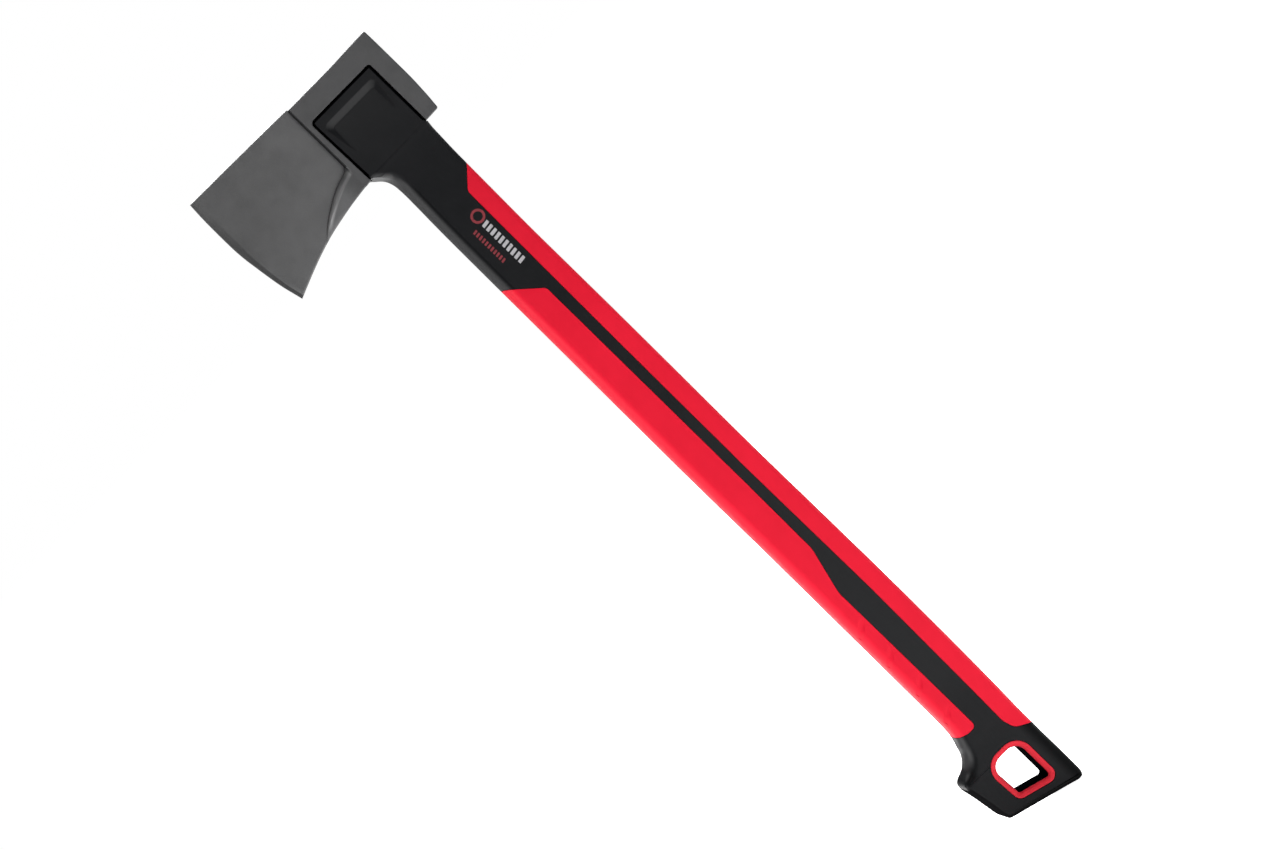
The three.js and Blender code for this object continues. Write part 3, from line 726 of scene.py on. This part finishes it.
def make_plate(name, outline, step=3.0):
    """Thin ink plate that follows the left side of the shaft."""
    pts = outline
    n = len(pts)
    verts = [(x, -(side_y(z) + 0.012), z) for x, z in pts] + [(x, -(side_y(z) + 0.06), z) for x, z in pts]
    faces = [tuple(range(n)), tuple(range(2 * n - 1, n - 1, -1))]
    faces += [(i, (i + 1) % n, n + (i + 1) % n, n + i) for i in range(n)]
    return solid(name, verts, faces)


# ------------------------------------------------------------------ materials
def material(name):
    m = bpy.data.materials.new(name)
    m.use_nodes = True
    nt = m.node_tree
    nt.nodes.clear()
    out = nt.nodes.new("ShaderNodeOutputMaterial")
    bsdf = nt.nodes.new("ShaderNodeBsdfPrincipled")
    nt.links.new(bsdf.outputs[0], out.inputs[0])
    return m, nt, bsdf


class Nodes:
    """Small helper to wire shader nodes."""

    def __init__(self, nt):
        self.nt = nt
        self.coord = nt.nodes.new("ShaderNodeTexCoord").outputs["Object"]

    def link(self, a, b):
        self.nt.links.new(a, b)

    def value(self, sock, v):
        if hasattr(v, "is_linked") or hasattr(v, "links"):
            self.link(v, sock)
        else:
            sock.default_value = v

    def noise(self, scale, detail=3.0, rough=0.5, stretch=None, distortion=0.0):
        vec = self.coord
        if stretch:
            mp = self.nt.nodes.new("ShaderNodeMapping")
            mp.inputs["Scale"].default_value = stretch
            self.link(vec, mp.inputs[0])
            vec = mp.outputs[0]
        n = self.nt.nodes.new("ShaderNodeTexNoise")
        n.inputs["Scale"].default_value = scale
        n.inputs["Detail"].default_value = detail
        n.inputs["Roughness"].default_value = rough
        n.inputs["Distortion"].default_value = distortion
        self.link(vec, n.inputs["Vector"])
        return n.outputs[0]

    def voronoi(self, scale, feature="F1"):
        n = self.nt.nodes.new("ShaderNodeTexVoronoi")
        n.feature = feature
        n.inputs["Scale"].default_value = scale
        self.link(self.coord, n.inputs["Vector"])
        return n.outputs[0]

    def range(self, v, a, b, c, d, clamp=True):
        n = self.nt.nodes.new("ShaderNodeMapRange")
        n.clamp = clamp
        self.link(v, n.inputs[0])
        for i, x in enumerate((a, b, c, d)):
            n.inputs[1 + i].default_value = x
        return n.outputs[0]

    def math(self, op, a, b=0.0):
        n = self.nt.nodes.new("ShaderNodeMath")
        n.operation = op
        self.value(n.inputs[0], a)
        self.value(n.inputs[1], b)
        return n.outputs[0]

    def mix(self, fac, a, b):
        n = self.nt.nodes.new("ShaderNodeMix")
        n.data_type = "RGBA"
        self.value(n.inputs[0], fac)
        for sock, v in ((n.inputs[6], a), (n.inputs[7], b)):
            if hasattr(v, "links"):
                self.link(v, sock)
            else:
                sock.default_value = (*v, 1.0)
        return n.outputs[2]

    def ao(self, distance, samples=6):
        n = self.nt.nodes.new("ShaderNodeAmbientOcclusion")
        n.samples = samples
        n.inputs["Distance"].default_value = distance
        return n.outputs["AO"]

    def bevel(self, radius, samples=4):
        n = self.nt.nodes.new("ShaderNodeBevel")
        n.samples = samples
        n.inputs["Radius"].default_value = radius
        return n.outputs[0]

    def bump(self, height, strength, distance, normal=None):
        n = self.nt.nodes.new("ShaderNodeBump")
        n.inputs["Strength"].default_value = strength
        n.inputs["Distance"].default_value = distance
        self.link(height, n.inputs["Height"])
        if normal is not None:
            self.link(normal, n.inputs["Normal"])
        return n.outputs[0]

    def geometry(self):
        return self.nt.nodes.new("ShaderNodeNewGeometry")

    def xyz(self):
        n = self.nt.nodes.new("ShaderNodeSeparateXYZ")
        self.link(self.coord, n.inputs[0])
        return n.outputs


def put(bsdf, **kw):
    for k, v in kw.items():
        bsdf.inputs[k.replace("_", " ")].default_value = v


def coated_steel():
    m, nt, b = material("coated_steel")
    n = Nodes(nt)
    mottle = n.noise(60, 4, 0.6)
    grain = n.noise(2600, 2, 0.6)
    pits = n.noise(900, 3, 0.65)
    x, y, z = n.xyz()
    side = n.math("ABSOLUTE", y)
    crease_shade = n.range(n.ao(0.0035), 0.37, 0.88, 1.0, 0.0)
    col = n.mix(n.range(mottle, 0.35, 0.65, 0, 1), (0.136, 0.136, 0.1375), (0.152, 0.152, 0.1535))
    col = n.mix(n.range(grain, 0.42, 0.62, 0, 0.30), col, (0.185, 0.185, 0.187))
    # the eye block and the beard are darker than the blade; the blade is darker towards its cutting edge and lighter
    # towards the lower edge of the head
    blade = n.math("ADD", n.math("MULTIPLY", x, BLADE_SLOPE), (BLADE_T - BLADE_SLOPE * BLOCK_X0) * MM)
    rise = n.math("SUBTRACT", side, blade)
    along = n.math("ADD", n.math("MULTIPLY", x, 1000), 84)
    ridge = n.math("ADD", n.math("MULTIPLY", along, n.math("SUBTRACT", 0.9224, n.math("MULTIPLY", along, 0.00806))), 622.6)
    below = n.range(n.math("SUBTRACT", n.math("MULTIPLY", z, 1000), ridge), -5.5, -3.0, 1.0, 0.0)
    thick = n.math("MULTIPLY", n.range(rise, 0.0004, 0.0016, 0.0, 1.0), below)
    inside = n.range(x, -0.0384, -0.0378, 0.0, 1.0)
    col = n.mix(n.math("MULTIPLY", n.math("MAXIMUM", thick, inside), 0.34), col, (0.030, 0.030, 0.033))
    col = n.mix(n.math("MULTIPLY", n.range(x, -0.115, -0.060, 1.0, 0.0), 0.10), col, (0.020, 0.020, 0.020))
    low = n.math("MULTIPLY", n.range(z, 0.600, 0.660, 0.17, 0.0), n.math("SUBTRACT", 1.0, n.math("MAXIMUM", thick, inside)))
    col = n.mix(low, col, (0.30, 0.30, 0.302))
    # painted highlight along the rounded ridge of the beard
    up = n.math("SUBTRACT", n.math("MULTIPLY", z, 1000), ridge)
    wear_and_highlight = n.math("MULTIPLY", n.range(up, -5.0, -3.0, 0.0, 1.0), n.range(up, -0.6, 0.2, 1.0, 0.0))
    wear_and_highlight = n.math("MULTIPLY", wear_and_highlight, n.math("MULTIPLY", n.range(rise, 0.0003, 0.0010, 0.0, 1.0), n.range(x, -0.0400, -0.0390, 1.0, 0.0)))
    wear_and_highlight = n.math("MULTIPLY", wear_and_highlight, n.range(x, -0.079, -0.070, 0.0, 1.0))
    col = n.mix(n.math("MULTIPLY", wear_and_highlight, 0.92), col, (0.30, 0.30, 0.303))
    # shadow line down the step between block and blade
    line = n.math("MULTIPLY", n.range(x, -0.0388, -0.0384, 0.0, 1.0), n.range(x, -0.0378, -0.0375, 1.0, 0.0))
    line = n.math("MULTIPLY", line, n.range(z, 0.6490, 0.6500, 0.0, 1.0))
    col = n.mix(n.math("MULTIPLY", line, 0.9), col, (0.012, 0.012, 0.013))
    # painted shade: darkened in the creases, from ambient occlusion
    col = n.mix(crease_shade, col, (0.012, 0.012, 0.013))
    # painted shade: the walls of the pocket are nearly black
    flat = nt.nodes.new("ShaderNodeSeparateXYZ")
    n.link(n.geometry().outputs["True Normal"], flat.inputs[0])
    wall_shade = n.range(n.math("ABSOLUTE", flat.outputs[1]), 0.45, 0.65, 1.0, 0.0)
    for v, a0, a1, b0, b1 in ((x, -0.0355, -0.0350, 0.0325, 0.0330), (z, 0.6345, 0.6350, 0.6965, 0.6970)):
        wall_shade = n.math("MULTIPLY", wall_shade, n.math("MULTIPLY", n.range(v, a0, a1, 0, 1), n.range(v, b0, b1, 1, 0)))
    col = n.mix(wall_shade, col, (0.004, 0.004, 0.005))
    # the ground bevel along the cutting edge is darker, most at the heel
    thin = n.range(side, 0.00125, 0.00145, 1.0, 0.0)
    col = n.mix(n.math("MULTIPLY", thin, n.range(z, 0.615, 0.700, 0.80, 0.08)), col, (0.040, 0.040, 0.041))
    n.link(col, b.inputs["Base Color"])
    put(b, Metallic=0.85, IOR=1.45)
    n.link(n.range(mottle, 0.3, 0.7, 0.46, 0.54), b.inputs["Roughness"])
    h = n.math("ADD", n.math("MULTIPLY", grain, 0.5), n.math("MULTIPLY", pits, 0.7))
    n.link(n.bump(h, 0.35, 0.00006, n.bevel(0.0003)), b.inputs["Normal"])
    return m


def black_nylon():
    m, nt, b = material("black_nylon")
    n = Nodes(nt)
    cloud = n.noise(35, 3, 0.5)
    spark = n.noise(2300, 3, 0.62)
    fibre = n.noise(500, 2, 0.5, stretch=(3.0, 3.0, 0.35))
    col = n.mix(n.range(cloud, 0.35, 0.65, 0, 1), (0.0034, 0.0038, 0.0049), (0.0050, 0.0054, 0.0066))
    col = n.mix(n.range(fibre, 0.55, 0.75, 0, 0.35), col, (0.010, 0.0105, 0.012))
    # painted shade: darkened in the creases, from ambient occlusion
    crease_shade = n.range(n.ao(0.0025), 0.38, 0.95, 0.95, 0.0)
    col = n.mix(crease_shade, col, (0.0008, 0.0008, 0.001))
    x, y, z = n.xyz()
    flat = nt.nodes.new("ShaderNodeSeparateXYZ")
    n.link(n.geometry().outputs["True Normal"], flat.inputs[0])
    turn = nt.nodes.new("ShaderNodeSeparateXYZ")
    n.link(n.geometry().outputs["Normal"], turn.inputs[0])

    def box(*limits):
        inside = None
        for v, a0, a1, b0, b1 in limits:
            band = n.math("MULTIPLY", n.range(v, a0, a1, 0, 1), n.range(v, b0, b1, 1, 0))
            inside = band if inside is None else n.math("MULTIPLY", inside, band)
        return inside

    # the walls of the hang hole and of the groove round the cheeks are dull and unlit
    wall_shade = n.range(n.math("ABSOLUTE", flat.outputs[1]), 0.45, 0.65, 1.0, 0.0)
    hole = box((x, -0.0262, -0.0255, 0.0080, 0.0085), (z, 0.0035, 0.0045, 0.0500, 0.0505))
    rim = n.range(z, 0.6340, 0.6345, 0, 1)
    wall_shade = n.math("MULTIPLY", wall_shade, n.math("MAXIMUM", hole, n.math("MULTIPLY", rim, 0.8)))
    lean = n.math("ADD", x, n.math("MULTIPLY", n.math("SUBTRACT", z, 0.632), 0.0268))
    brink = n.math("MAXIMUM", n.range(z, 0.6857, 0.6861, 0, 1), n.range(x, 0.0209, 0.0213, 0, 1))
    brink = n.math("MAXIMUM", brink, n.range(lean, -0.0312, -0.0308, 1, 0))
    wall_shade = n.math("MAXIMUM", wall_shade, n.math("MULTIPLY", brink, rim))
    # painted light: the cheeks and the lower shaft are lifted lighter; the inner slope of the tray most
    cheek = n.range(z, 0.6325, 0.6335, 0, 1)
    slope = n.math("MULTIPLY", n.range(turn.outputs[2], -0.22, -0.08, 1, 0), box((z, 0.6660, 0.6700, 0.6815, 0.6825), (x, -0.029, -0.022, 0.010, 0.020)))
    lower = box((z, 0.085, 0.120, 0.30, 0.45))
    painted_light = n.math("ADD", n.math("MULTIPLY", cheek, 0.073), n.math("MULTIPLY", lower, 0.10))
    painted_light = n.math("ADD", painted_light, n.math("MULTIPLY", slope, 0.27))
    # painted light: lighter on faces turned forward along the front of the neck and in the finger hook, and on the foot
    # of the neck
    left = n.math("ADD", n.math("MULTIPLY", turn.outputs[0], -0.88), n.math("MULTIPLY", turn.outputs[2], 0.35))
    tip = box((x, -0.0450, -0.0410, -0.0355, -0.0310), (z, 0.0440, 0.0490, 0.0535, 0.0575))
    hook = box((z, 0.0490, 0.0570, 0.074, 0.080))
    neck = box((z, 0.500, 0.510, 0.6320, 0.6330))
    edge_light = n.math("MULTIPLY", n.range(left, 0.42, 0.85, 0, 1), n.math("MAXIMUM", hook, neck))
    edge_light = n.math("MULTIPLY", edge_light, n.math("ADD", 1.0, n.math("MULTIPLY", box((z, 0.575, 0.595, 0.614, 0.624)), 0.35)))
    foot = n.math("ADD", n.math("MULTIPLY", n.math("ADD", x, 0.027), 0.74), n.math("MULTIPLY", n.math("SUBTRACT", z, 0.6255), 0.67))
    foot = n.math("MULTIPLY", n.range(foot, 0.0028, 0.0052, 1, 0), box((z, 0.6180, 0.6230, 0.6325, 0.6332), (x, -0.060, -0.050, -0.0205, -0.0190)))
    painted_light = n.math("ADD", painted_light, n.math("MAXIMUM", n.math("MULTIPLY", edge_light, 0.58), n.math("MULTIPLY", foot, 0.80)))
    col = n.mix(painted_light, col, (0.055, 0.055, 0.056))
    # away from the light: the back of the knob, its lower rim and the butt
    back = n.math("MULTIPLY", n.range(x, 0.0095, 0.0155, 0, 1), n.range(z, 0.062, 0.075, 1, 0))
    under = n.math("SUBTRACT", n.math("MULTIPLY", turn.outputs[2], -1.0), n.math("MULTIPLY", turn.outputs[0], 0.6))
    under = n.math("MULTIPLY", n.range(under, 0.12, 0.35, 0, 1), n.range(z, 0.0440, 0.0465, 1, 0))
    # painted shade over places where the lamps put highlights: the tip of the hook and the front of the neck; the same
    # mask also takes the shine off
    side = box((left, 0.10, 0.25, 0.70, 0.85), (z, 0.500, 0.510, 0.602, 0.614))
    shade_and_dull = n.math("MAXIMUM", n.math("MULTIPLY", back, 0.65), under)
    shade_and_dull = n.math("MAXIMUM", shade_and_dull, n.math("MAXIMUM", n.math("MULTIPLY", tip, 0.6), n.math("MULTIPLY", side, 0.36)))
    shade_and_dull = n.math("MAXIMUM", shade_and_dull, n.math("MULTIPLY", box((z, 0.565, 0.605, 0.6326, 0.6334)), 0.10))
    shade_and_dull = n.math("MAXIMUM", shade_and_dull, n.math("MAXIMUM", wall_shade, n.math("MULTIPLY", crease_shade, 0.9)))
    col = n.mix(shade_and_dull, col, (0.0008, 0.0008, 0.001))
    col = n.mix(under, col, (0.008, 0.008, 0.0085))
    n.link(col, b.inputs["Base Color"])
    put(b, IOR=1.45)
    n.link(n.range(shade_and_dull, 0.0, 1.0, 0.23, 0.0), b.inputs["Specular IOR Level"])
    n.link(n.range(cloud, 0.3, 0.7, 0.40, 0.48), b.inputs["Roughness"])
    n.link(n.bump(spark, 0.5, 0.00006, n.bevel(0.0004)), b.inputs["Normal"])
    return m


def soft_red(name, light, dark, rough, deep=None):
    m, nt, b = material(name)
    n = Nodes(nt)
    cloud = n.noise(28, 3, 0.5)
    pebble = n.voronoi(1500)
    fine = n.noise(4200, 2, 0.6)
    col = n.mix(n.range(cloud, 0.35, 0.65, 0, 1), dark, light)
    # painted shade: darkened in the creases, from ambient occlusion
    crease_shade = n.range(n.ao(0.0022), 0.35, 0.85, 0.75, 0.0)
    # painted shade: deeper towards the head, where less light falls
    col = n.mix(n.range(n.xyz()[2], 0.46, 0.58, 0.0, 0.13), col, (0.02, 0.001, 0.002))
    col = n.mix(crease_shade, col, tuple(c * 0.25 for c in dark))
    if deep:
        # painted shade inside the hole: below this depth the lip is near black and without shine
        hole_shade = n.range(n.math("ABSOLUTE", n.xyz()[1]), deep - 0.0003, deep + 0.0003, 1.0, 0.0)
        col = n.mix(hole_shade, col, (0.0008, 0.0008, 0.001))
        n.link(n.range(hole_shade, 0.0, 1.0, 0.19, 0.0), b.inputs["Specular IOR Level"])
        n.link(n.range(hole_shade, 0.0, 1.0, 0.08, 0.0), b.inputs["Sheen Weight"])
    else:
        b.inputs["Specular IOR Level"].default_value = 0.19
        b.inputs["Sheen Weight"].default_value = 0.08
    n.link(col, b.inputs["Base Color"])
    put(b, IOR=1.42)
    n.link(n.range(cloud, 0.3, 0.7, rough, rough + 0.08), b.inputs["Roughness"])
    b.inputs["Sheen Roughness"].default_value = 0.4
    b.inputs["Sheen Tint"].default_value = (1.0, 0.35, 0.4, 1)
    h = n.math("ADD", n.math("MULTIPLY", pebble, 0.7), n.math("MULTIPLY", fine, 0.4))
    n.link(n.bump(h, 0.35, 0.00007, n.bevel(0.0005)), b.inputs["Normal"])
    return m


def ink(name, base, wear_and_highlight):
    m, nt, b = material(name)
    n = Nodes(nt)
    wear = n.noise(900, 4, 0.7)
    col = n.mix(n.range(wear, 0.52, 0.66, 0, 0.6), base, wear_and_highlight)
    n.link(col, b.inputs["Base Color"])
    put(b, IOR=1.4)
    n.link(n.range(wear, 0.3, 0.7, 0.45, 0.6), b.inputs["Roughness"])
    n.link(n.bump(n.noise(2300, 3, 0.62), 0.35, 0.00005), b.inputs["Normal"])
    return m


def fibreglass():
    m, nt, b = material("fibreglass")
    n = Nodes(nt)
    strands = n.noise(700, 4, 0.6, stretch=(1.0, 1.0, 0.02))
    col = n.mix(n.range(strands, 0.35, 0.65, 0, 1), (0.48, 0.44, 0.27), (0.72, 0.68, 0.50))
    n.link(col, b.inputs["Base Color"])
    put(b, IOR=1.5, Roughness=0.35)
    n.link(n.bump(strands, 0.4, 0.0001), b.inputs["Normal"])
    return m


STEEL = coated_steel()
NYLON = black_nylon()
RED = soft_red("red_soft_grip", (0.85, 0.0075, 0.033), (0.80, 0.0060, 0.029), 0.45)
RED_LIP = soft_red("red_soft_lip", (0.81, 0.030, 0.050), (0.76, 0.026, 0.046), 0.5, (KNOB_T - 2.6) * MM)
WHITE_INK = ink("white_ink", (0.50, 0.49, 0.51), (0.16, 0.155, 0.16))
RED_INK = ink("red_ink", (0.26, 0.030, 0.040), (0.09, 0.014, 0.018))
CORE_MAT = fibreglass()


# ------------------------------------------------------------------ pieces
def place(ob, mat, slot, *nodes):
    ob.data.materials.clear()
    ob.data.materials.append(mat)
    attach(ob, "root")
    if nodes:
        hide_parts(*nodes)
    return ob


place(make_head(), STEEL, "coated_steel", "axe_head")
place(make_body(), NYLON, "black_nylon", "handle_body")
place(make_grip("back_grip_rubber", BACK_GRIP, False), RED, "red_soft_grip", "back_grip")
place(make_grip("front_grip_rubber", FRONT_GRIP, True), RED, "red_soft_grip", "front_grip")
place(make_lip("hang_lip_left", -1), RED_LIP, "red_soft_grip", "hang_ring_left")
place(make_lip("hang_lip_right", 1), RED_LIP, "red_soft_grip", "hang_ring_right")

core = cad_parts["core_rod"]
core.data.materials.clear()
core.data.materials.append(CORE_MAT)

# plain coloured marks in place of the print: a ring and two rows of slanted dashes
def ring_mark(name, x, z, r_out, r_in, seg=40):
    """Thin flat ring on the left side of the shaft."""
    verts, faces = [], []
    for r, lift in ((r_out, 0.06), (r_in, 0.06), (r_in, 0.012), (r_out, 0.012)):
        for k in range(seg):
            a = 2 * math.pi * k / seg
            px, pz = x + r * math.cos(a), z + r * math.sin(a)
            verts.append((px, -(side_y(pz) + lift), pz))
    for q in range(4):
        for k in range(seg):
            a, b = q * seg + k, q * seg + (k + 1) % seg
            c, d = ((q + 1) % 4) * seg + (k + 1) % seg, ((q + 1) % 4) * seg + k
            faces.append((a, b, c, d))
    return solid(name, verts, faces)


def dash_row(name, x0, x1, z0, z1, count, fill, slant=0.0):
    """A row of separate dashes along the shaft, from z0 to z1."""
    pitch = (z1 - z0) / count
    obs = []
    for k in range(count):
        a = z0 + pitch * (k + 0.5 - fill / 2)
        b = a + pitch * fill
        pts = rounded([(x0, a, 0.3), (x1, a + slant, 0.3), (x1, b + slant, 0.3), (x0, b, 0.3)], 3)
        obs.append(make_plate("dash", pts))
    return gather(name, obs)


for ob, mat in (
    (ring_mark("mark_ring", 1.3, 561.4, 5.2, 3.4), RED_INK),
    (dash_row("mark_light_row", -1.5, 4.0, 517.0, 555.5, 10, 0.62, 0.6), WHITE_INK),
    (dash_row("mark_red_row", -9.6, -6.2, 526.0, 556.0, 11, 0.6, 0.4), RED_INK),
):
    place(finish_piece(ob, ob.name, 30, weighted=False), mat, "black_nylon")


# ------------------------------------------------------------------ floor, light, camera
FLOOR_GLOW = 0.26  # light given back by the white floor, besides what falls on it
FLOOR_POOL = 0.43  # and more of it in a soft pool in front


def make_floor():
    z = -0.0042
    me = bpy.data.meshes.new("floor")
    s = 60.0
    me.from_pydata([(-s, -s, z), (s, -s, z), (s, s, z), (-s, s, z)], [], [(0, 1, 2, 3)])
    ob = bpy.data.objects.new("floor", me)
    bpy.context.scene.collection.objects.link(ob)
    m, nt, b = material("pale_floor")
    out = [n for n in nt.nodes if n.type == "OUTPUT_MATERIAL"][0]
    put(b, Roughness=0.9, IOR=1.3)
    n = Nodes(nt)
    col = n.mix(n.range(n.noise(3, 3), 0.3, 0.7, 0, 1), (0.78, 0.78, 0.78), (0.80, 0.80, 0.80))
    n.link(col, b.inputs["Base Color"])
    glow = nt.nodes.new("ShaderNodeEmission")
    path = nt.nodes.new("ShaderNodeLightPath")
    away = nt.nodes.new("ShaderNodeVectorMath")
    away.operation = "DISTANCE"
    away.inputs[1].default_value = (0, -0.9, 0)
    n.link(n.coord, away.inputs[0])
    pool = n.range(away.outputs["Value"], 0.5, 1.6, FLOOR_GLOW + FLOOR_POOL, FLOOR_GLOW)
    seen = path.outputs["Is Camera Ray"]
    lit = n.math("ADD", n.math("MULTIPLY", pool, n.math("SUBTRACT", 1.0, seen)), seen)
    n.link(lit, glow.inputs["Strength"])
    both = nt.nodes.new("ShaderNodeAddShader")
    n.link(b.outputs[0], both.inputs[0])
    n.link(glow.outputs[0], both.inputs[1])
    n.link(both.outputs[0], out.inputs[0])
    me.materials.append(m)
    return ob


make_floor()

world = bpy.data.worlds.new("studio")
bpy.context.scene.world = world
world.use_nodes = True
wt = world.node_tree
wt.nodes.clear()
w_out = wt.nodes.new("ShaderNodeOutputWorld")
w_cam = wt.nodes.new("ShaderNodeBackground")
w_cam.inputs[0].default_value = (1, 1, 1, 1)
w_cam.inputs[1].default_value = 1.0
w_rest = wt.nodes.new("ShaderNodeBackground")
w_rest.inputs[0].default_value = (1, 1, 1, 1)
w_rest.inputs[1].default_value = 0.01
w_path = wt.nodes.new("ShaderNodeLightPath")
w_mix = wt.nodes.new("ShaderNodeMixShader")
wt.links.new(w_path.outputs["Is Camera Ray"], w_mix.inputs[0])
wt.links.new(w_rest.outputs[0], w_mix.inputs[1])
wt.links.new(w_cam.outputs[0], w_mix.inputs[2])
wt.links.new(w_mix.outputs[0], w_out.inputs[0])


def softbox(name, at, to, size, energy, size_y=None):
    d = bpy.data.lights.new(name, "AREA")
    d.shape = "RECTANGLE"
    d.size = size
    d.size_y = size_y or size
    d.energy = energy
    o = bpy.data.objects.new(name, d)
    bpy.context.scene.collection.objects.link(o)
    o.location = at
    o.rotation_mode = "QUATERNION"
    o.rotation_quaternion = (Vector(to) - Vector(at)).to_track_quat("-Z", "Y")
    return o


softbox("left", (-2.4, 0.3, 0.9), (0, 0, 0.35), 1.2, 26)
softbox("low_left", (-1.5, -0.3, 0.5), (0, 0, 0.45), 0.9, 2.8)
softbox("key", (0.1, -2.1, 2.0), (0, 0, 0.30), 0.9, 22)
softbox("above_back", (0.4, 1.7, 2.7), (0, 0, 0.40), 1.3, 185)

# The camera looks straight along +Y, turned about its own axis, with a shifted lens: the axe lies across the frame.
CAM_X, CAM_D, CAM_Z = -0.350, 2.700, 0.63825
C, S = 0.7145, 0.6997
cam_data = bpy.data.cameras.new("camera")
cam = bpy.data.objects.new("camera", cam_data)
bpy.context.scene.collection.objects.link(cam)
cam.rotation_mode = "XYZ"
right, up, back = Vector((S, 0, -C)), Vector((C, 0, S)), Vector((0, -1, 0))
rot = Matrix((right, up, back)).transposed()
cam.rotation_euler = rot.to_euler("XYZ")
cam.location = (CAM_X, -CAM_D, CAM_Z)
cam_data.sensor_fit = "HORIZONTAL"
cam_data.sensor_width = 36.0
cam_data.lens = 110.05
cam_data.clip_start, cam_data.clip_end = 0.1, 200
# The shift belongs to this view only: it goes to zero when the camera is turned round the object by quaternion.
for prop, amount in (("shift_x", 0.4692), ("shift_y", 0.0615)):
    curve = cam_data.driver_add(prop)
    while curve.modifiers:
        curve.modifiers.remove(curve.modifiers[0])
    line = curve.modifiers.new("GENERATOR")
    line.poly_order = 1
    line.coefficients = (0.0, amount)
    drv = curve.driver
    drv.type = "SUM"
    var = drv.variables.new()
    var.name = "mode"
    var.type = "SINGLE_PROP"
    var.targets[0].id_type = "OBJECT"
    var.targets[0].id = cam
    var.targets[0].data_path = "rotation_mode"
bpy.context.scene.camera = cam
bpy.context.scene.view_settings.view_transform = "Standard"
bpy.context.scene.view_settings.look = "None"
bpy.context.view_layer.update()
